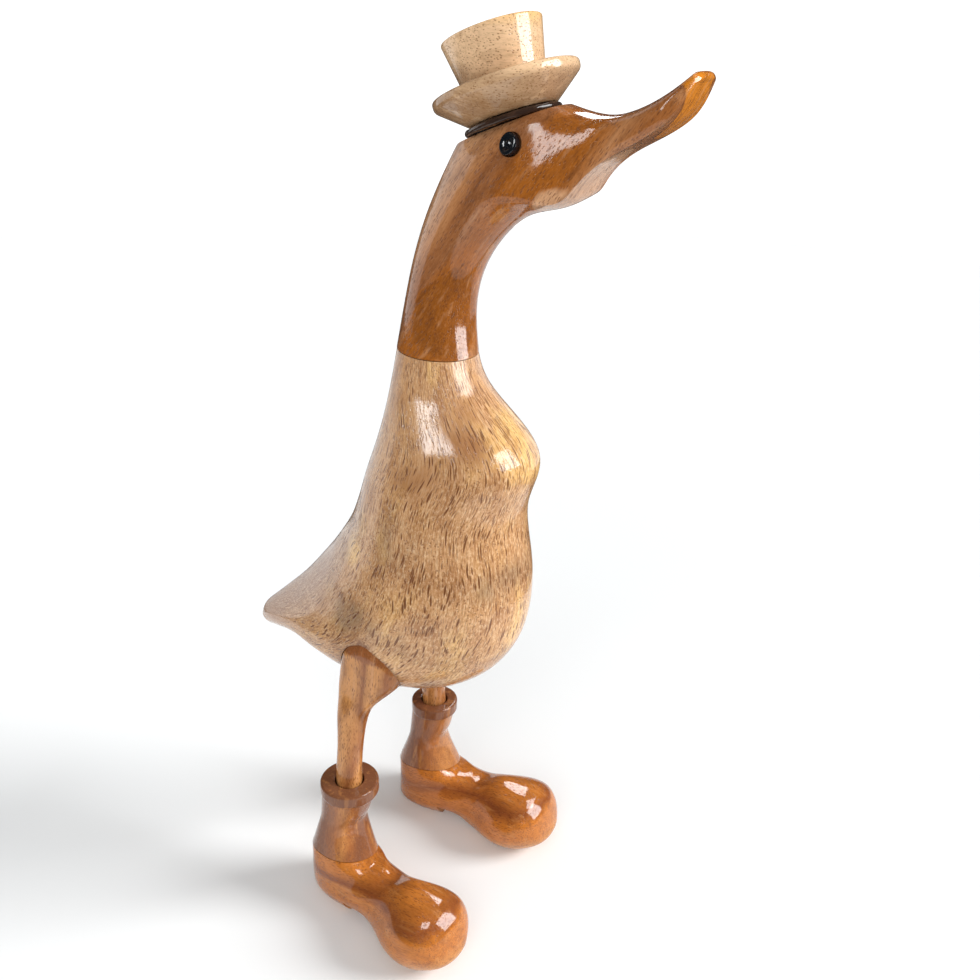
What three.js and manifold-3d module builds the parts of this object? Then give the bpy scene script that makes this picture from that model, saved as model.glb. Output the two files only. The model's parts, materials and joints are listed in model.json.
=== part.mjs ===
// Carved wooden duck in a small top hat and clown boots, all sizes in millimetres.
// The duck stands on its boot soles at z = 0, looks along +X, and +Y is its left side.

import * as THREE from "three";
import { mergeVertices } from "three/addons/utils/BufferGeometryUtils.js";
import Module from "manifold-3d";

const wasm = await Module();
wasm.setup();

// Driving dimensions
const GAP = 0.3; // glue line between two pieces that touch
const PLACE = new THREE.Vector3(20.015, 2.605, 0); // puts the middle of the whole duck over the origin

// A rib is one cross section of a carved piece. Its long axis runs in the middle plane of the
// piece from a back point to a front point, and it reaches half the width to each side.
// Columns: back x, back z, front x, front z, half width, egg, back power, front flat, ridge.
// egg moves the widest place forward, back power under 2 makes the back pointed, front flat
// of 1 planes the front end off square, and ridge is the height of the crease beside the back.
const NECK_SEAM = [-30.8, 226.2, -3.4, 225.0, 13.5, 0, 2, 0, 0];
const BODY_RIBS = [
  [-34.5, 209.0, 4.0, 212.0, 16.3, 0, 2, 0, 0],
  [-39.5, 192.0, 20.5, 194.0, 22.3, 0.05, 2, 0, 0],
  [-45.8, 176.0, 16.8, 174.0, 24.5, 0.08, 1.9, 0, 0.2],
  [-54.0, 157.0, 19.0, 148.0, 27.5, 0.12, 1.7, 0, 0.8],
  [-69.0, 136.0, 15.8, 121.0, 29.0, 0.18, 1.55, 0, 1.0],
  [-83.0, 120.0, 0.0, 102.2, 27.5, 0.2, 1.5, 0, 1.0],
  [-94.0, 109.5, -24.0, 95.0, 21.2, 0.15, 1.5, 0, 1.0],
  [-101.0, 103.0, -51.0, 95.0, 14.0, 0.05, 1.6, 0, 0.8],
  [-105.5, 98.5, -78.0, 92.6, 8.8, 0, 1.8, 0, 0.4],
  [-107.6, 94.0, -99.0, 89.4, 4.6, 0, 2, 0, 0],
];
const HEAD_RIBS = [
  [-27.4, 241.0, -4.6, 240.0, 12.8, 0, 2, 0, 0],
  [-23.6, 256.0, -1.4, 253.5, 12.8, 0, 2, 0, 0],
  [-18.0, 272.0, 6.2, 264.8, 13.2, 0, 2, 0, 0],
  [-10.0, 287.0, 17.0, 272.8, 14.0, 0, 2.2, 0.1, 0],
  [-2.0, 298.5, 29.5, 276.6, 14.0, 0, 2.2, 0.8, 0],
  [14.0, 305.5, 35.5, 283.0, 12.0, 0, 2.2, 1, 0],
  [31.0, 303.0, 41.0, 289.0, 10.3, 0, 2.4, 1, 0],
  [44.0, 302.5, 48.5, 294.0, 10.0, 0, 2.6, 1, 0],
  [56.5, 307.5, 60.0, 301.5, 11.0, 0, 2.6, 1, 0],
  [65.2, 314.0, 66.7, 311.5, 7.4, 0, 2.6, 1, 0],
];
const CHIN_CORNER = 60; // degrees from the front at which the planed face of a rib starts
const RIDGE_ANGLE = 130; // degrees from the front at which the crease beside the back runs
const RIDGE_SPREAD = 14; // degrees over which the crease fades
const TAIL_DOME = 2.2;
const BILL_DOME = 1.6;

// Hat, turned on its own axis and leant back
const HAT_PLACE = new THREE.Vector3(6.0, 0, 308.8); // middle of the top face of the brim
const HAT_TILT = 21;
const BRIM_RADIUS = 21.9;
const BRIM_EDGE = 2.6;
const BRIM_ROUND = 0.5;
const CROWN_HEIGHT = 14.1;
const CROWN_FOOT_RADIUS = 12.2;
const CROWN_TOP_RADIUS = 15.2;
const HAT_BASE_RADIUS = 13.0;
const HAT_CONE = 7.0;
const SEAT_RADIUS = 14.2;
const SEAT_THICKNESS = 1.8;

// Eyes, a button with a raised rim and a domed middle, let into the side of the head
const EYE_PLACE = new THREE.Vector3(16.0, 12.4, 293.4); // on the left cheek, mirrored to the right
const EYE_LEAN = 16.7; // degrees that the cheek faces upward there
const EYE_RADIUS = 3.6;
const EYE_DEPTH = 3.2;
const EYE_PROUD = 1.3;
const EYE_RIM = 0.45; // how round and how deep the rim is
const EYE_DOME = 1.9;

// Boots, in a frame with x forward along the sole and the leg hole over the origin.
// Columns: back x, back z, front x, front z, half width, sole angle, bank.
// sole angle is how far round from the lowest point the flat sole reaches, in degrees, and
// bank tilts a rib sideways, as rise for each millimetre towards the left.
const RIM_HEIGHT = 57.0;
const RIM_RADIUS = 11.2;
const BAND_HEIGHT = 4.6;
const RIM_ROUND = 0.6;
const SHAFT_RIBS = [
  [-10.7, 51.8, 9.2, 51.6, 9.8, 0, 0],
  [-11.4, 40.4, 6.2, 41.8, 9.6, 0, 0],
  [-12.2, 34.0, 4.3, 34.9, 10.4, 0, -0.1],
];
const BOOT_SEAM = [-16.4, 20.6, 10.2, 22.9, 12.6, 0, -0.25];
const FOOT_RIBS = [
  [-16.8, 9.6, 13.9, 21.9, 13.2, 8, -0.1],
  [-14.3, 0.8, 18.4, 21.9, 12.1, 34, 0],
  [-1.6, 0.0, 23.8, 21.4, 12.4, 44, 0],
  [8.6, 0.0, 29.0, 23.7, 10.8, 38, 0],
  [18.0, 0.0, 34.7, 26.2, 10.8, 30, 0],
  [29.9, 0.0, 42.6, 26.4, 15.4, 30, 0],
  [41.4, 0.0, 51.5, 25.2, 17.0, 30, 0],
  [50.9, 1.0, 57.3, 19.6, 13.2, 22, 0],
  [56.9, 4.8, 59.2, 11.6, 7.6, 14, 0],
];
const TOE_DOME = 1.6;
const HEEL_FRONT = 8.4;
const ARCH_RISE = 4.4;
const ARCH_END = 28.0;
const SOLE_SANDED = 0.3; // everything this close to the ground is sanded down to it
const BOOT_SQUARE = 2.2; // squareness of a rib's outline, 2 is an ellipse
const ANKLE_HEIGHT = 25.0; // above this the boot goes over to the size of its rim
const LEG_HOLE_RADIUS = 5.6;
const LEG_HOLE_DEPTH = 8.0;
const BOOT_RIGHT = { x: -36.4, y: -31.1, yaw: -10.0, width: 0.96, rim: 1.01, lean: -1.1, setback: 0.9 };
const BOOT_LEFT = { x: -39.4, y: 29.6, yaw: 1.4, width: 1.04, rim: 0.88, lean: 2.9, setback: 0.7 };

// Legs, right one, with the thigh let into the side of the belly. Each rib is a level section.
// Columns: centre x, centre y, z, half length, half breadth, squareness (2 is an ellipse).
const LEG_FLOOR = RIM_HEIGHT - LEG_HOLE_DEPTH + GAP;
const LEG_RIBS = [
  [-28.6, -24.6, 119.0, 5.0, 4.6, 2.4],
  [-28.3, -24.3, 116.0, 9.6, 5.6, 2.8],
  [-28.6, -24.2, 111.0, 12.4, 5.9, 3],
  [-29.8, -24.0, 104.5, 12.8, 6.1, 3],
  [-33.0, -24.3, 97.5, 10.4, 6.1, 2.8],
  [-35.6, -25.6, 91.0, 7.4, 5.9, 2.5],
  [-36.9, -27.2, 84.0, 5.8, 5.6, 2.2],
  [-36.6, -29.4, 73.0, 5.0, 5.0, 2],
  [BOOT_RIGHT.x - 0.4, BOOT_RIGHT.y + 0.6, 62.0, 5.0, 5.0, 2],
  [BOOT_RIGHT.x, BOOT_RIGHT.y, 55.0, 5.0, 5.0, 2],
  [BOOT_RIGHT.x, BOOT_RIGHT.y, LEG_FLOOR, 5.0, 5.0, 2],
];
const LEG_TOP = LEG_RIBS[0][2];
const THIGH_DOME = 1.0;

// Facets: rows along a piece and columns round it, and rings in a rounded end
const BODY_FACETS = [32, 26];
const HEAD_FACETS = [34, 22];
const LEG_FACETS = [18, 14];
const SHAFT_FACETS = [8, 18];
const FOOT_FACETS = [22, 18];
const HAT_FACETS = 32;
const SEAT_FACETS = 24;
const EYE_FACETS = 16;
const DOME_RINGS = 3;

// Materials
const material = (color, roughness) => new THREE.MeshStandardMaterial({ color, roughness, metalness: 0 });
const rootWood = material(0xc9a06a, 0.35);
const headWood = material(0xa5632b, 0.2);
const hatWood = material(0xd6b183, 0.3);
const legWood = material(0xb97c3f, 0.35);
const shaftWood = material(0x87502a, 0.25);
const footWood = material(0xb5692c, 0.2);
const darkGlue = material(0x3a2416, 0.15);
const eyeGlass = material(0x0b0b0d, 0.1);

// Smooth curve through equally spaced rows of numbers: a natural cubic spline in every column
function naturalSpline(rows) {
  const last = rows.length - 1;
  const columns = rows[0].length;
  const bend = rows.map(() => new Array(columns).fill(0));
  for (let k = 0; k < columns; k += 1) {
    const sweep = [0];
    const carried = [0];
    for (let i = 1; i < last; i += 1) {
      const jump = 6 * (rows[i + 1][k] - 2 * rows[i][k] + rows[i - 1][k]);
      const pivot = 4 - sweep[i - 1];
      sweep.push(1 / pivot);
      carried.push((jump - carried[i - 1]) / pivot);
    }
    for (let i = last - 1; i > 0; i -= 1) {
      bend[i][k] = carried[i] - sweep[i] * bend[i + 1][k];
    }
  }
  return (t) => {
    const i = Math.min(Math.floor(t), last - 1);
    const f = t - i;
    const g = 1 - f;
    return rows[i].map((value, k) => {
      const curve = (g ** 3 - g) * bend[i][k] + (f ** 3 - f) * bend[i + 1][k];
      return g * value + f * rows[i + 1][k] + curve / 6;
    });
  };
}

const degrees = THREE.MathUtils.degToRad;
const clamp = THREE.MathUtils.clamp;
const roundedPower = (value, power) => Math.sign(value) * Math.abs(value) ** (2 / power);

// A rib's outline point at an angle from its front end, for the body and the head
function carvedPoint(rib, angle) {
  const [backX, backZ, frontX, frontZ, half, egg, backPower, frontFlat, ridge] = rib;
  const power = Math.cos(angle) > 0 ? 2 : backPower;
  const flat = clamp(frontFlat, 0, 1);
  const corner = Math.cos(degrees(CHIN_CORNER));
  const side = roundedPower(Math.sin(angle), power);
  let along = roundedPower(Math.cos(angle), power);
  along -= flat * Math.max(along - corner, 0);
  along = (2 * (along + 1)) / (2 - flat * (1 - corner)) - 1;
  const offRidge = Math.abs(Math.abs(THREE.MathUtils.radToDeg(angle)) - RIDGE_ANGLE);
  const crease = ridge * Math.exp(-offRidge / RIDGE_SPREAD) * Math.sign(side);
  return new THREE.Vector3(
    (backX + frontX) / 2 + ((frontX - backX) / 2) * along,
    half * side * (1 + egg * along) + crease,
    (backZ + frontZ) / 2 + ((frontZ - backZ) / 2) * along,
  );
}

// A boot rib's outline point at an angle from its front or top end
function bootPoint(rib, angle, boot) {
  const [backX, backZ, frontX, frontZ, half, soleAngle, bank] = rib;
  const corner = Math.cos(degrees(clamp(soleAngle, 0, 60)));
  const side = roundedPower(Math.sin(angle), BOOT_SQUARE);
  const cosine = Math.max(roundedPower(Math.cos(angle), BOOT_SQUARE), -corner);
  const along = 1 - (2 * (1 - cosine)) / (1 + corner);
  const z = (backZ + frontZ) / 2 + ((frontZ - backZ) / 2) * along;
  const raised = clamp((z - ANKLE_HEIGHT) / (RIM_HEIGHT - ANKLE_HEIGHT), 0, 1);
  const below = clamp(1 - z / RIM_HEIGHT, 0, 1);
  const breadth = THREE.MathUtils.lerp(boot.width, boot.rim, raised);
  const length = THREE.MathUtils.lerp(1, boot.rim, raised);
  const x = (backX + frontX) / 2 + ((frontX - backX) / 2) * along;
  const y = half * side * breadth;
  const level = z + bank * y > SOLE_SANDED ? z + bank * y : 0;
  return new THREE.Vector3(x * length - boot.setback * below, y + boot.lean * below, level);
}

// Rings of points for the stretch of a rib table from one row to another
function loftRings(ribs, [rows, columns], point) {
  const curve = naturalSpline(ribs);
  const rings = [];
  for (let row = 0; row <= rows; row += 1) {
    const rib = curve(((ribs.length - 1) * row) / rows);
    const ring = [];
    for (let column = 0; column < columns; column += 1) {
      ring.push(point(rib, Math.PI * ((2 * column) / columns - 1)));
    }
    rings.push(ring);
  }
  return rings;
}

function middle(ring) {
  const sum = ring.reduce((total, point) => total.add(point), new THREE.Vector3());
  return sum.divideScalar(ring.length);
}

// Rings that shrink like a quarter ellipse, to round off the last ring of a loft
function domeRings(rings, height) {
  const end = rings[rings.length - 1];
  const centre = middle(end);
  const inward = middle(rings[rings.length - 2]).sub(centre);
  const quarter = Math.floor(end.length / 4);
  const across = end[quarter].clone().sub(centre);
  const outward = across.cross(end[2 * quarter].clone().sub(centre)).normalize();
  if (outward.dot(inward) > 0) {
    outward.negate();
  }
  for (let step = 1; step < DOME_RINGS; step += 1) {
    const turn = (Math.PI / 2) * (step / DOME_RINGS);
    const lift = outward.clone().multiplyScalar(height * Math.sin(turn));
    rings.push(end.map((point) => centre.clone().lerp(point, Math.cos(turn)).add(lift)));
  }
  return { rings, pole: centre.addScaledVector(outward, height) };
}

// A closed solid from rings of points, each end closed by a fan to a middle point
function ringSolid(rings, firstPole = middle(rings[0]), lastPole = middle(rings[rings.length - 1])) {
  const columns = rings[0].length;
  const points = rings.flat().concat([firstPole, lastPole]);
  const triangles = [];
  const at = (row, column) => row * columns + (column % columns);
  for (let column = 0; column < columns; column += 1) {
    for (let row = 0; row < rings.length - 1; row += 1) {
      triangles.push(at(row, column), at(row + 1, column), at(row + 1, column + 1));
      triangles.push(at(row, column), at(row + 1, column + 1), at(row, column + 1));
    }
    triangles.push(points.length - 2, at(0, column), at(0, column + 1));
    triangles.push(points.length - 1, at(rings.length - 1, column + 1), at(rings.length - 1, column));
  }
  const geometry = new THREE.BufferGeometry().setFromPoints(points);
  geometry.setIndex(triangles);
  return pointingOut(geometry);
}

// Turns the triangles round where they enclose a negative volume
function pointingOut(geometry) {
  const place = geometry.getAttribute("position");
  const index = geometry.getIndex().array;
  const corner = [new THREE.Vector3(), new THREE.Vector3(), new THREE.Vector3()];
  let volume = 0;
  for (let i = 0; i < index.length; i += 3) {
    corner.forEach((point, k) => point.fromBufferAttribute(place, index[i + k]));
    volume += corner[0].dot(corner[1].cross(corner[2]));
  }
  if (volume < 0) {
    for (let i = 0; i < index.length; i += 3) {
      [index[i], index[i + 1]] = [index[i + 1], index[i]];
    }
  }
  return geometry;
}

function toManifold(geometry) {
  const bare = geometry.clone();
  bare.deleteAttribute("normal");
  bare.deleteAttribute("uv");
  const merged = mergeVertices(bare, 1e-4);
  return new wasm.Manifold(new wasm.Mesh({
    numProp: 3,
    vertProperties: Float32Array.from(merged.getAttribute("position").array),
    triVerts: Uint32Array.from(merged.getIndex().array),
  }));
}

function fromManifold(solid) {
  const mesh = solid.getMesh();
  const geometry = new THREE.BufferGeometry();
  geometry.setAttribute("position", new THREE.BufferAttribute(mesh.vertProperties, 3));
  geometry.setIndex(new THREE.BufferAttribute(mesh.triVerts, 1));
  return geometry;
}

function cut(geometry, ...tools) {
  const solid = tools.reduce((rest, tool) => rest.subtract(toManifold(tool)), toManifold(geometry));
  return fromManifold(solid);
}

// Body, from the neck seam down over the breast and belly to the tail, with a pocket for each thigh
function bodyGeometry() {
  const rings = loftRings([lifted(NECK_SEAM, -GAP / 2), ...BODY_RIBS], BODY_FACETS, carvedPoint);
  const tail = domeRings(rings, TAIL_DOME);
  const solid = ringSolid(tail.rings, undefined, tail.pole);
  return cut(solid, legGeometry(-1, BOOT_RIGHT, GAP), legGeometry(1, BOOT_LEFT, GAP));
}

function lifted(rib, rise) {
  return rib.map((value, k) => (k === 1 || k === 3 ? value + rise : value));
}

// Head with neck and bill, planed flat on top under the hat and bored for the eyes
function headGeometry() {
  const rings = loftRings([lifted(NECK_SEAM, GAP / 2), ...HEAD_RIBS], HEAD_FACETS, carvedPoint);
  const bill = domeRings(rings, BILL_DOME);
  const solid = ringSolid(bill.rings, undefined, bill.pole);
  const block = 3 * BRIM_RADIUS;
  const above = new THREE.BoxGeometry(block, block, block);
  above.translate(0, 0, block / 2 - BRIM_EDGE - HAT_CONE - SEAT_THICKNESS - 2 * GAP);
  above.applyMatrix4(hatMatrix());
  const bores = [-1, 1].map((side) => eyeBore().applyMatrix4(eyeMatrix(side)));
  return cut(solid, above, ...bores);
}

function hatMatrix() {
  const turn = new THREE.Matrix4().makeRotationY(degrees(-HAT_TILT));
  return turn.setPosition(HAT_PLACE);
}

// A turned solid: radius and height pairs from the bottom of the axis to its top
function turned(profile, segments) {
  const points = profile.map(([radius, height]) => new THREE.Vector2(radius, height));
  return new THREE.LatheGeometry(points, segments).rotateX(Math.PI / 2);
}

function hatGeometry() {
  const base = -BRIM_EDGE - HAT_CONE;
  return turned([
    [0, base],
    [HAT_BASE_RADIUS, base],
    [BRIM_RADIUS - BRIM_ROUND, -BRIM_EDGE],
    [BRIM_RADIUS, -BRIM_EDGE + BRIM_ROUND],
    [BRIM_RADIUS, -BRIM_ROUND],
    [BRIM_RADIUS - BRIM_ROUND, 0],
    [CROWN_FOOT_RADIUS, 0],
    [CROWN_TOP_RADIUS - BRIM_ROUND / 2, CROWN_HEIGHT - BRIM_ROUND],
    [CROWN_TOP_RADIUS - BRIM_ROUND, CROWN_HEIGHT],
    [0, CROWN_HEIGHT],
  ], HAT_FACETS);
}

// The bead of glue between the head and the hat
function seatGeometry() {
  const top = -BRIM_EDGE - HAT_CONE - GAP;
  const half = SEAT_THICKNESS / 2;
  const rim = [-60, -30, 0, 30, 60].map((turn) => [
    SEAT_RADIUS - half + half * Math.cos(degrees(turn)),
    top - half + half * Math.sin(degrees(turn)),
  ]);
  return turned([[0, top - SEAT_THICKNESS], [SEAT_RADIUS - half, top - SEAT_THICKNESS], ...rim,
    [SEAT_RADIUS - half, top], [0, top]], SEAT_FACETS);
}

// An eye on its own axis, its rim at z = 0 and its shank below
function eyeGeometry() {
  return turned([
    [0, -EYE_DEPTH],
    [EYE_RADIUS, -EYE_DEPTH],
    [EYE_RADIUS, -EYE_RIM],
    [EYE_RADIUS - EYE_RIM / 2, 0],
    [EYE_RADIUS - 2 * EYE_RIM, 0],
    [EYE_DOME + EYE_RIM, -EYE_RIM],
    [EYE_DOME, -EYE_RIM],
    [EYE_DOME * 0.6, -EYE_RIM * 0.2],
    [0, EYE_RIM * 0.3],
  ], EYE_FACETS);
}

function eyeBore() {
  const length = EYE_DEPTH + GAP + EYE_RADIUS;
  const bore = new THREE.CylinderGeometry(EYE_RADIUS + GAP, EYE_RADIUS + GAP, length, EYE_FACETS);
  return bore.rotateX(Math.PI / 2).translate(0, 0, length / 2 - EYE_DEPTH - GAP);
}

function eyeMatrix(side) {
  const lean = degrees(EYE_LEAN);
  const turn = new THREE.Matrix4().makeRotationX(side * (lean - Math.PI / 2));
  const outward = new THREE.Vector3(0, side * Math.cos(lean), Math.sin(lean));
  const cheek = new THREE.Vector3(EYE_PLACE.x, side * EYE_PLACE.y, EYE_PLACE.z);
  return turn.setPosition(cheek.addScaledVector(outward, EYE_PROUD));
}

// Leg: level sections lofted down from the hip into the boot.
// The left leg is the right one mirrored, and drawn over to its own boot lower down.
function legGeometry(side, boot, grow) {
  const ribs = LEG_RIBS.map(([x, y, z, halfX, halfY, square]) => {
    const low = clamp((LEG_TOP - z) / (LEG_TOP - RIM_HEIGHT), 0, 1);
    const shiftX = low * (boot.x - BOOT_RIGHT.x);
    const shiftY = low * (boot.y - side * Math.abs(BOOT_RIGHT.y));
    return [x + shiftX, side * Math.abs(y) + shiftY, z, halfX + grow, halfY + grow, square];
  });
  const rings = loftRings(ribs, LEG_FACETS, ([x, y, z, halfX, halfY, square], angle) => new THREE.Vector3(
    x + halfX * roundedPower(Math.cos(angle), square),
    y + halfY * roundedPower(Math.sin(angle), square),
    z,
  )).reverse();
  const thigh = domeRings(rings, THIGH_DOME + grow);
  return ringSolid(thigh.rings, undefined, thigh.pole);
}

// Boot shaft: the carved ribs from the seam up, then the banded rim and the hole for the leg
function shaftGeometry(boot) {
  const ribs = [lifted(BOOT_SEAM, GAP / 2), ...[...SHAFT_RIBS].reverse()];
  const columns = SHAFT_FACETS[1];
  const rings = loftRings(ribs, SHAFT_FACETS, (rib, angle) => bootPoint(rib, angle, boot));
  const round = (radius, z) => {
    const ring = [];
    for (let column = 0; column < columns; column += 1) {
      const angle = Math.PI * ((2 * column) / columns - 1);
      ring.push(new THREE.Vector3(radius * Math.cos(angle), radius * Math.sin(angle), z));
    }
    return ring;
  };
  const radius = RIM_RADIUS * boot.rim;
  rings.push(round(radius, RIM_HEIGHT - BAND_HEIGHT));
  rings.push(round(radius, RIM_HEIGHT - RIM_ROUND));
  rings.push(round(radius - RIM_ROUND, RIM_HEIGHT));
  rings.push(round(LEG_HOLE_RADIUS, RIM_HEIGHT));
  rings.push(round(LEG_HOLE_RADIUS, RIM_HEIGHT - LEG_HOLE_DEPTH));
  return ringSolid(rings);
}

// Boot foot: the carved ribs from the seam round the heel to the toe, with the arch cut out
function footGeometry(boot) {
  const point = (rib, angle) => bootPoint(rib, angle, boot);
  const rings = loftRings([lifted(BOOT_SEAM, -GAP / 2), ...FOOT_RIBS], FOOT_FACETS, point);
  const toe = domeRings(rings, TOE_DOME);
  const arch = new THREE.Shape();
  arch.moveTo(HEEL_FRONT, -ARCH_RISE);
  arch.lineTo(HEEL_FRONT, ARCH_RISE);
  arch.quadraticCurveTo((HEEL_FRONT + ARCH_END) / 2, ARCH_RISE, ARCH_END, 0);
  arch.lineTo(ARCH_END, -ARCH_RISE);
  const breadth = 2 * (RIM_HEIGHT - ANKLE_HEIGHT);
  const cutter = new THREE.ExtrudeGeometry(arch, { depth: breadth, bevelEnabled: false, curveSegments: 5 });
  cutter.rotateX(Math.PI / 2).translate(-boot.setback, breadth / 2, 0);
  return cut(ringSolid(toe.rings, undefined, toe.pole), cutter);
}

function named(name, geometry, finish) {
  const mesh = new THREE.Mesh(geometry, finish);
  mesh.name = name;
  return mesh;
}

const duck = new THREE.Group();
duck.position.copy(PLACE);
duck.add(named("body", bodyGeometry(), rootWood));
duck.add(named("head", headGeometry(), headWood));

const hat = new THREE.Group();
hat.applyMatrix4(hatMatrix());
hat.add(named("hat", hatGeometry(), hatWood));
hat.add(named("hat_seat", seatGeometry(), darkGlue));
duck.add(hat);

[["right", -1, BOOT_RIGHT], ["left", 1, BOOT_LEFT]].forEach(([name, side, boot]) => {
  const eye = named(`eye_${name}`, eyeGeometry(), eyeGlass);
  eye.applyMatrix4(eyeMatrix(side));
  duck.add(eye);
  duck.add(named(`leg_${name}`, legGeometry(side, boot, 0), legWood));

  const footwear = new THREE.Group();
  footwear.position.set(boot.x, boot.y, 0);
  footwear.rotation.z = degrees(boot.yaw);
  footwear.add(named(`boot_shaft_${name}`, shaftGeometry(boot), shaftWood));
  footwear.add(named(`boot_foot_${name}`, footGeometry(boot), footWood));
  duck.add(footwear);
});

export default duck;
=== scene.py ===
"""Wooden duck figurine: carved root body, head with an upturned bill, small top hat and round-toed boots.

Tables of sizes are in millimetres, with x towards the bill, y to the duck's left and z up.
"""

import json
import math

import bpy
import numpy as np
from bpy.props import FloatProperty, FloatVectorProperty, PointerProperty
from mathutils import Matrix

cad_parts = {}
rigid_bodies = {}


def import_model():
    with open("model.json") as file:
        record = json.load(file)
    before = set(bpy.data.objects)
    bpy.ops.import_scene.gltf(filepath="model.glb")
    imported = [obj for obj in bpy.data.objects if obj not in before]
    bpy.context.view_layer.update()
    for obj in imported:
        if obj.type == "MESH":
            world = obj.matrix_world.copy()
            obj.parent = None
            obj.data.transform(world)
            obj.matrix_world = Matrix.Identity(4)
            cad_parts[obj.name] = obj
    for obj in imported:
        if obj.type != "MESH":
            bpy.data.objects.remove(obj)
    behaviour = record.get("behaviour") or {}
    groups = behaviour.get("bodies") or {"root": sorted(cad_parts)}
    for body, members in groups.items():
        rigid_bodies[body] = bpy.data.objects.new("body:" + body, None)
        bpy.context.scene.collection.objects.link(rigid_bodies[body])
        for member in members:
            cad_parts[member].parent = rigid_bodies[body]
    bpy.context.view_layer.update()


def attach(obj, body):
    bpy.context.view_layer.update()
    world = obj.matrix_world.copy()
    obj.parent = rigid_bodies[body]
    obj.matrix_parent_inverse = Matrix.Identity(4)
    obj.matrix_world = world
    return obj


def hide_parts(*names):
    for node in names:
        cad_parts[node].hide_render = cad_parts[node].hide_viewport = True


bl_info = {
    "name": "Wooden duck figurine",
    "version": (1, 0, 0),
    "blender": (4, 5, 0),
    "location": "3D View > Sidebar > Duck",
    "description": "Builds a carved and varnished wooden duck with a top hat and boots",
    "category": "Object",
}

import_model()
MM = 0.001
GAP = 0.3
PLACE = np.array([20.015, 2.605, 0.0])

# Ribs: back x, back z, front x, front z, half width, egg, back power, front flat, ridge
NECK_SEAM = [-30.8, 226.2, -3.4, 225, 13.5, 0, 2, 0, 0]
BODY_RIBS = [
    [-34.5, 209, 4, 212, 16.3, 0, 2, 0, 0],
    [-39.5, 192, 20.5, 194, 22.3, 0.05, 2, 0, 0],
    [-45.8, 176, 16.8, 174, 24.5, 0.08, 1.9, 0, 0.2],
    [-54, 157, 19, 148, 27.5, 0.12, 1.7, 0, 0.8],
    [-69, 136, 15.8, 121, 29, 0.18, 1.55, 0, 1],
    [-83, 120, 0, 102.2, 27.5, 0.2, 1.5, 0, 1],
    [-94, 109.5, -24, 95, 21.2, 0.15, 1.5, 0, 1],
    [-101, 103, -51, 95, 14, 0.05, 1.6, 0, 0.8],
    [-105.5, 98.5, -78, 92.6, 8.8, 0, 1.8, 0, 0.4],
    [-107.6, 94, -99, 89.4, 4.6, 0, 2, 0, 0],
]
HEAD_RIBS = [
    [-27.4, 241, -4.6, 240, 12.8, 0, 2, 0, 0],
    [-23.6, 256, -1.4, 253.5, 12.8, 0, 2, 0, 0],
    [-18, 272, 6.2, 264.8, 13.2, 0, 2, 0, 0],
    [-10, 287, 17, 272.8, 14, 0, 2.2, 0.1, 0],
    [-2, 298.5, 29.5, 276.6, 14, 0, 2.2, 0.8, 0],
    [14, 305.5, 35.5, 283, 12, 0, 2.2, 1, 0],
    [31, 303, 41, 289, 10.3, 0, 2.4, 1, 0],
    [44, 302.5, 48.5, 294, 10, 0, 2.6, 1, 0],
    [56.5, 307.5, 60, 301.5, 11, 0, 2.6, 1, 0],
    [65.2, 314, 66.7, 311.5, 7.4, 0, 2.6, 1, 0],
]
CHIN_CORNER = 60.0
RIDGE_ANGLE = 130.0
RIDGE_SPREAD = 14.0

# Domes: height, number of rings and the angle in degrees at which they start
TAIL_DOME = (2.2, 12, 20)
BILL_DOME = (1.6, 14, 30)
TOE_DOME = (1.6, 20, 62)

HAT_PLACE = np.array([6, 0, 308.8])
HAT_TILT = 21.0
BRIM_RADIUS = 21.9
BRIM_EDGE = 2.6
CROWN_HEIGHT = 14.1
CROWN_FOOT_RADIUS = 12.2
CROWN_TOP_RADIUS = 15.05
HAT_BASE_RADIUS = 13.0
HAT_CONE = 7.0
SEAT_RADIUS = 14.2
SEAT_THICKNESS = 1.8

EYE_PLACE = np.array([16, 12.4, 293.4])
EYE_LEAN = 16.7
EYE_RADIUS = 3.2
EYE_BACK = 18.0
EYE_DEPTH = 3.2
EYE_PROUD = 1.3
EYE_RIM = 0.45
EYE_DOME = 1.9
EYE_SHOULDER, EYE_LIP = 0.8, 1.1

# Boot ribs: back x, back z, front x, front z, half width, sole angle, bank
RIM_HEIGHT = 57.0
RIM_RADIUS = 11.2
BAND_HEIGHT = 4.6
SHAFT_RIBS = [
    [-10.7, 51.8, 9.2, 51.6, 9.8, 0, 0],
    [-11.4, 40.4, 6.2, 41.8, 9.6, 0, 0],
    [-12.2, 34, 4.3, 34.9, 10.4, 0, -0.1],
]
BOOT_SEAM = [-16.4, 20.6, 10.2, 22.9, 12.6, 0, -0.25]
FOOT_RIBS = [
    [-16.8, 9.6, 13.9, 21.9, 13.2, 8, -0.1],
    [-14.3, 0.8, 18.4, 21.9, 12.1, 34, 0],
    [-1.6, 0, 23.8, 21.4, 12.4, 44, 0],
    [8.6, 0, 29, 23.7, 10.8, 38, 0],
    [18, 0, 34.7, 26.2, 10.8, 30, 0],
    [29.9, 0, 42.6, 26.4, 15.4, 30, 0],
    [41.4, 0, 51.5, 25.2, 17, 30, 0],
    [50.9, 1, 57.3, 19.6, 13.2, 22, 0],
    [56.9, 4.8, 59.2, 11.6, 7.6, 14, 0],
]
HEEL_FRONT = 8.4
ARCH_RISE = 4.4
ARCH_END = 28.0
ARCH_HOLLOW = 7.0
ARCH_REACH = 32.0
SOLE_SANDED = 0.3
BOOT_SQUARE = 2.2
ANKLE_HEIGHT = 25.0
LEG_HOLE_RADIUS = 5.6
LEG_HOLE_DEPTH = 8.0
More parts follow.
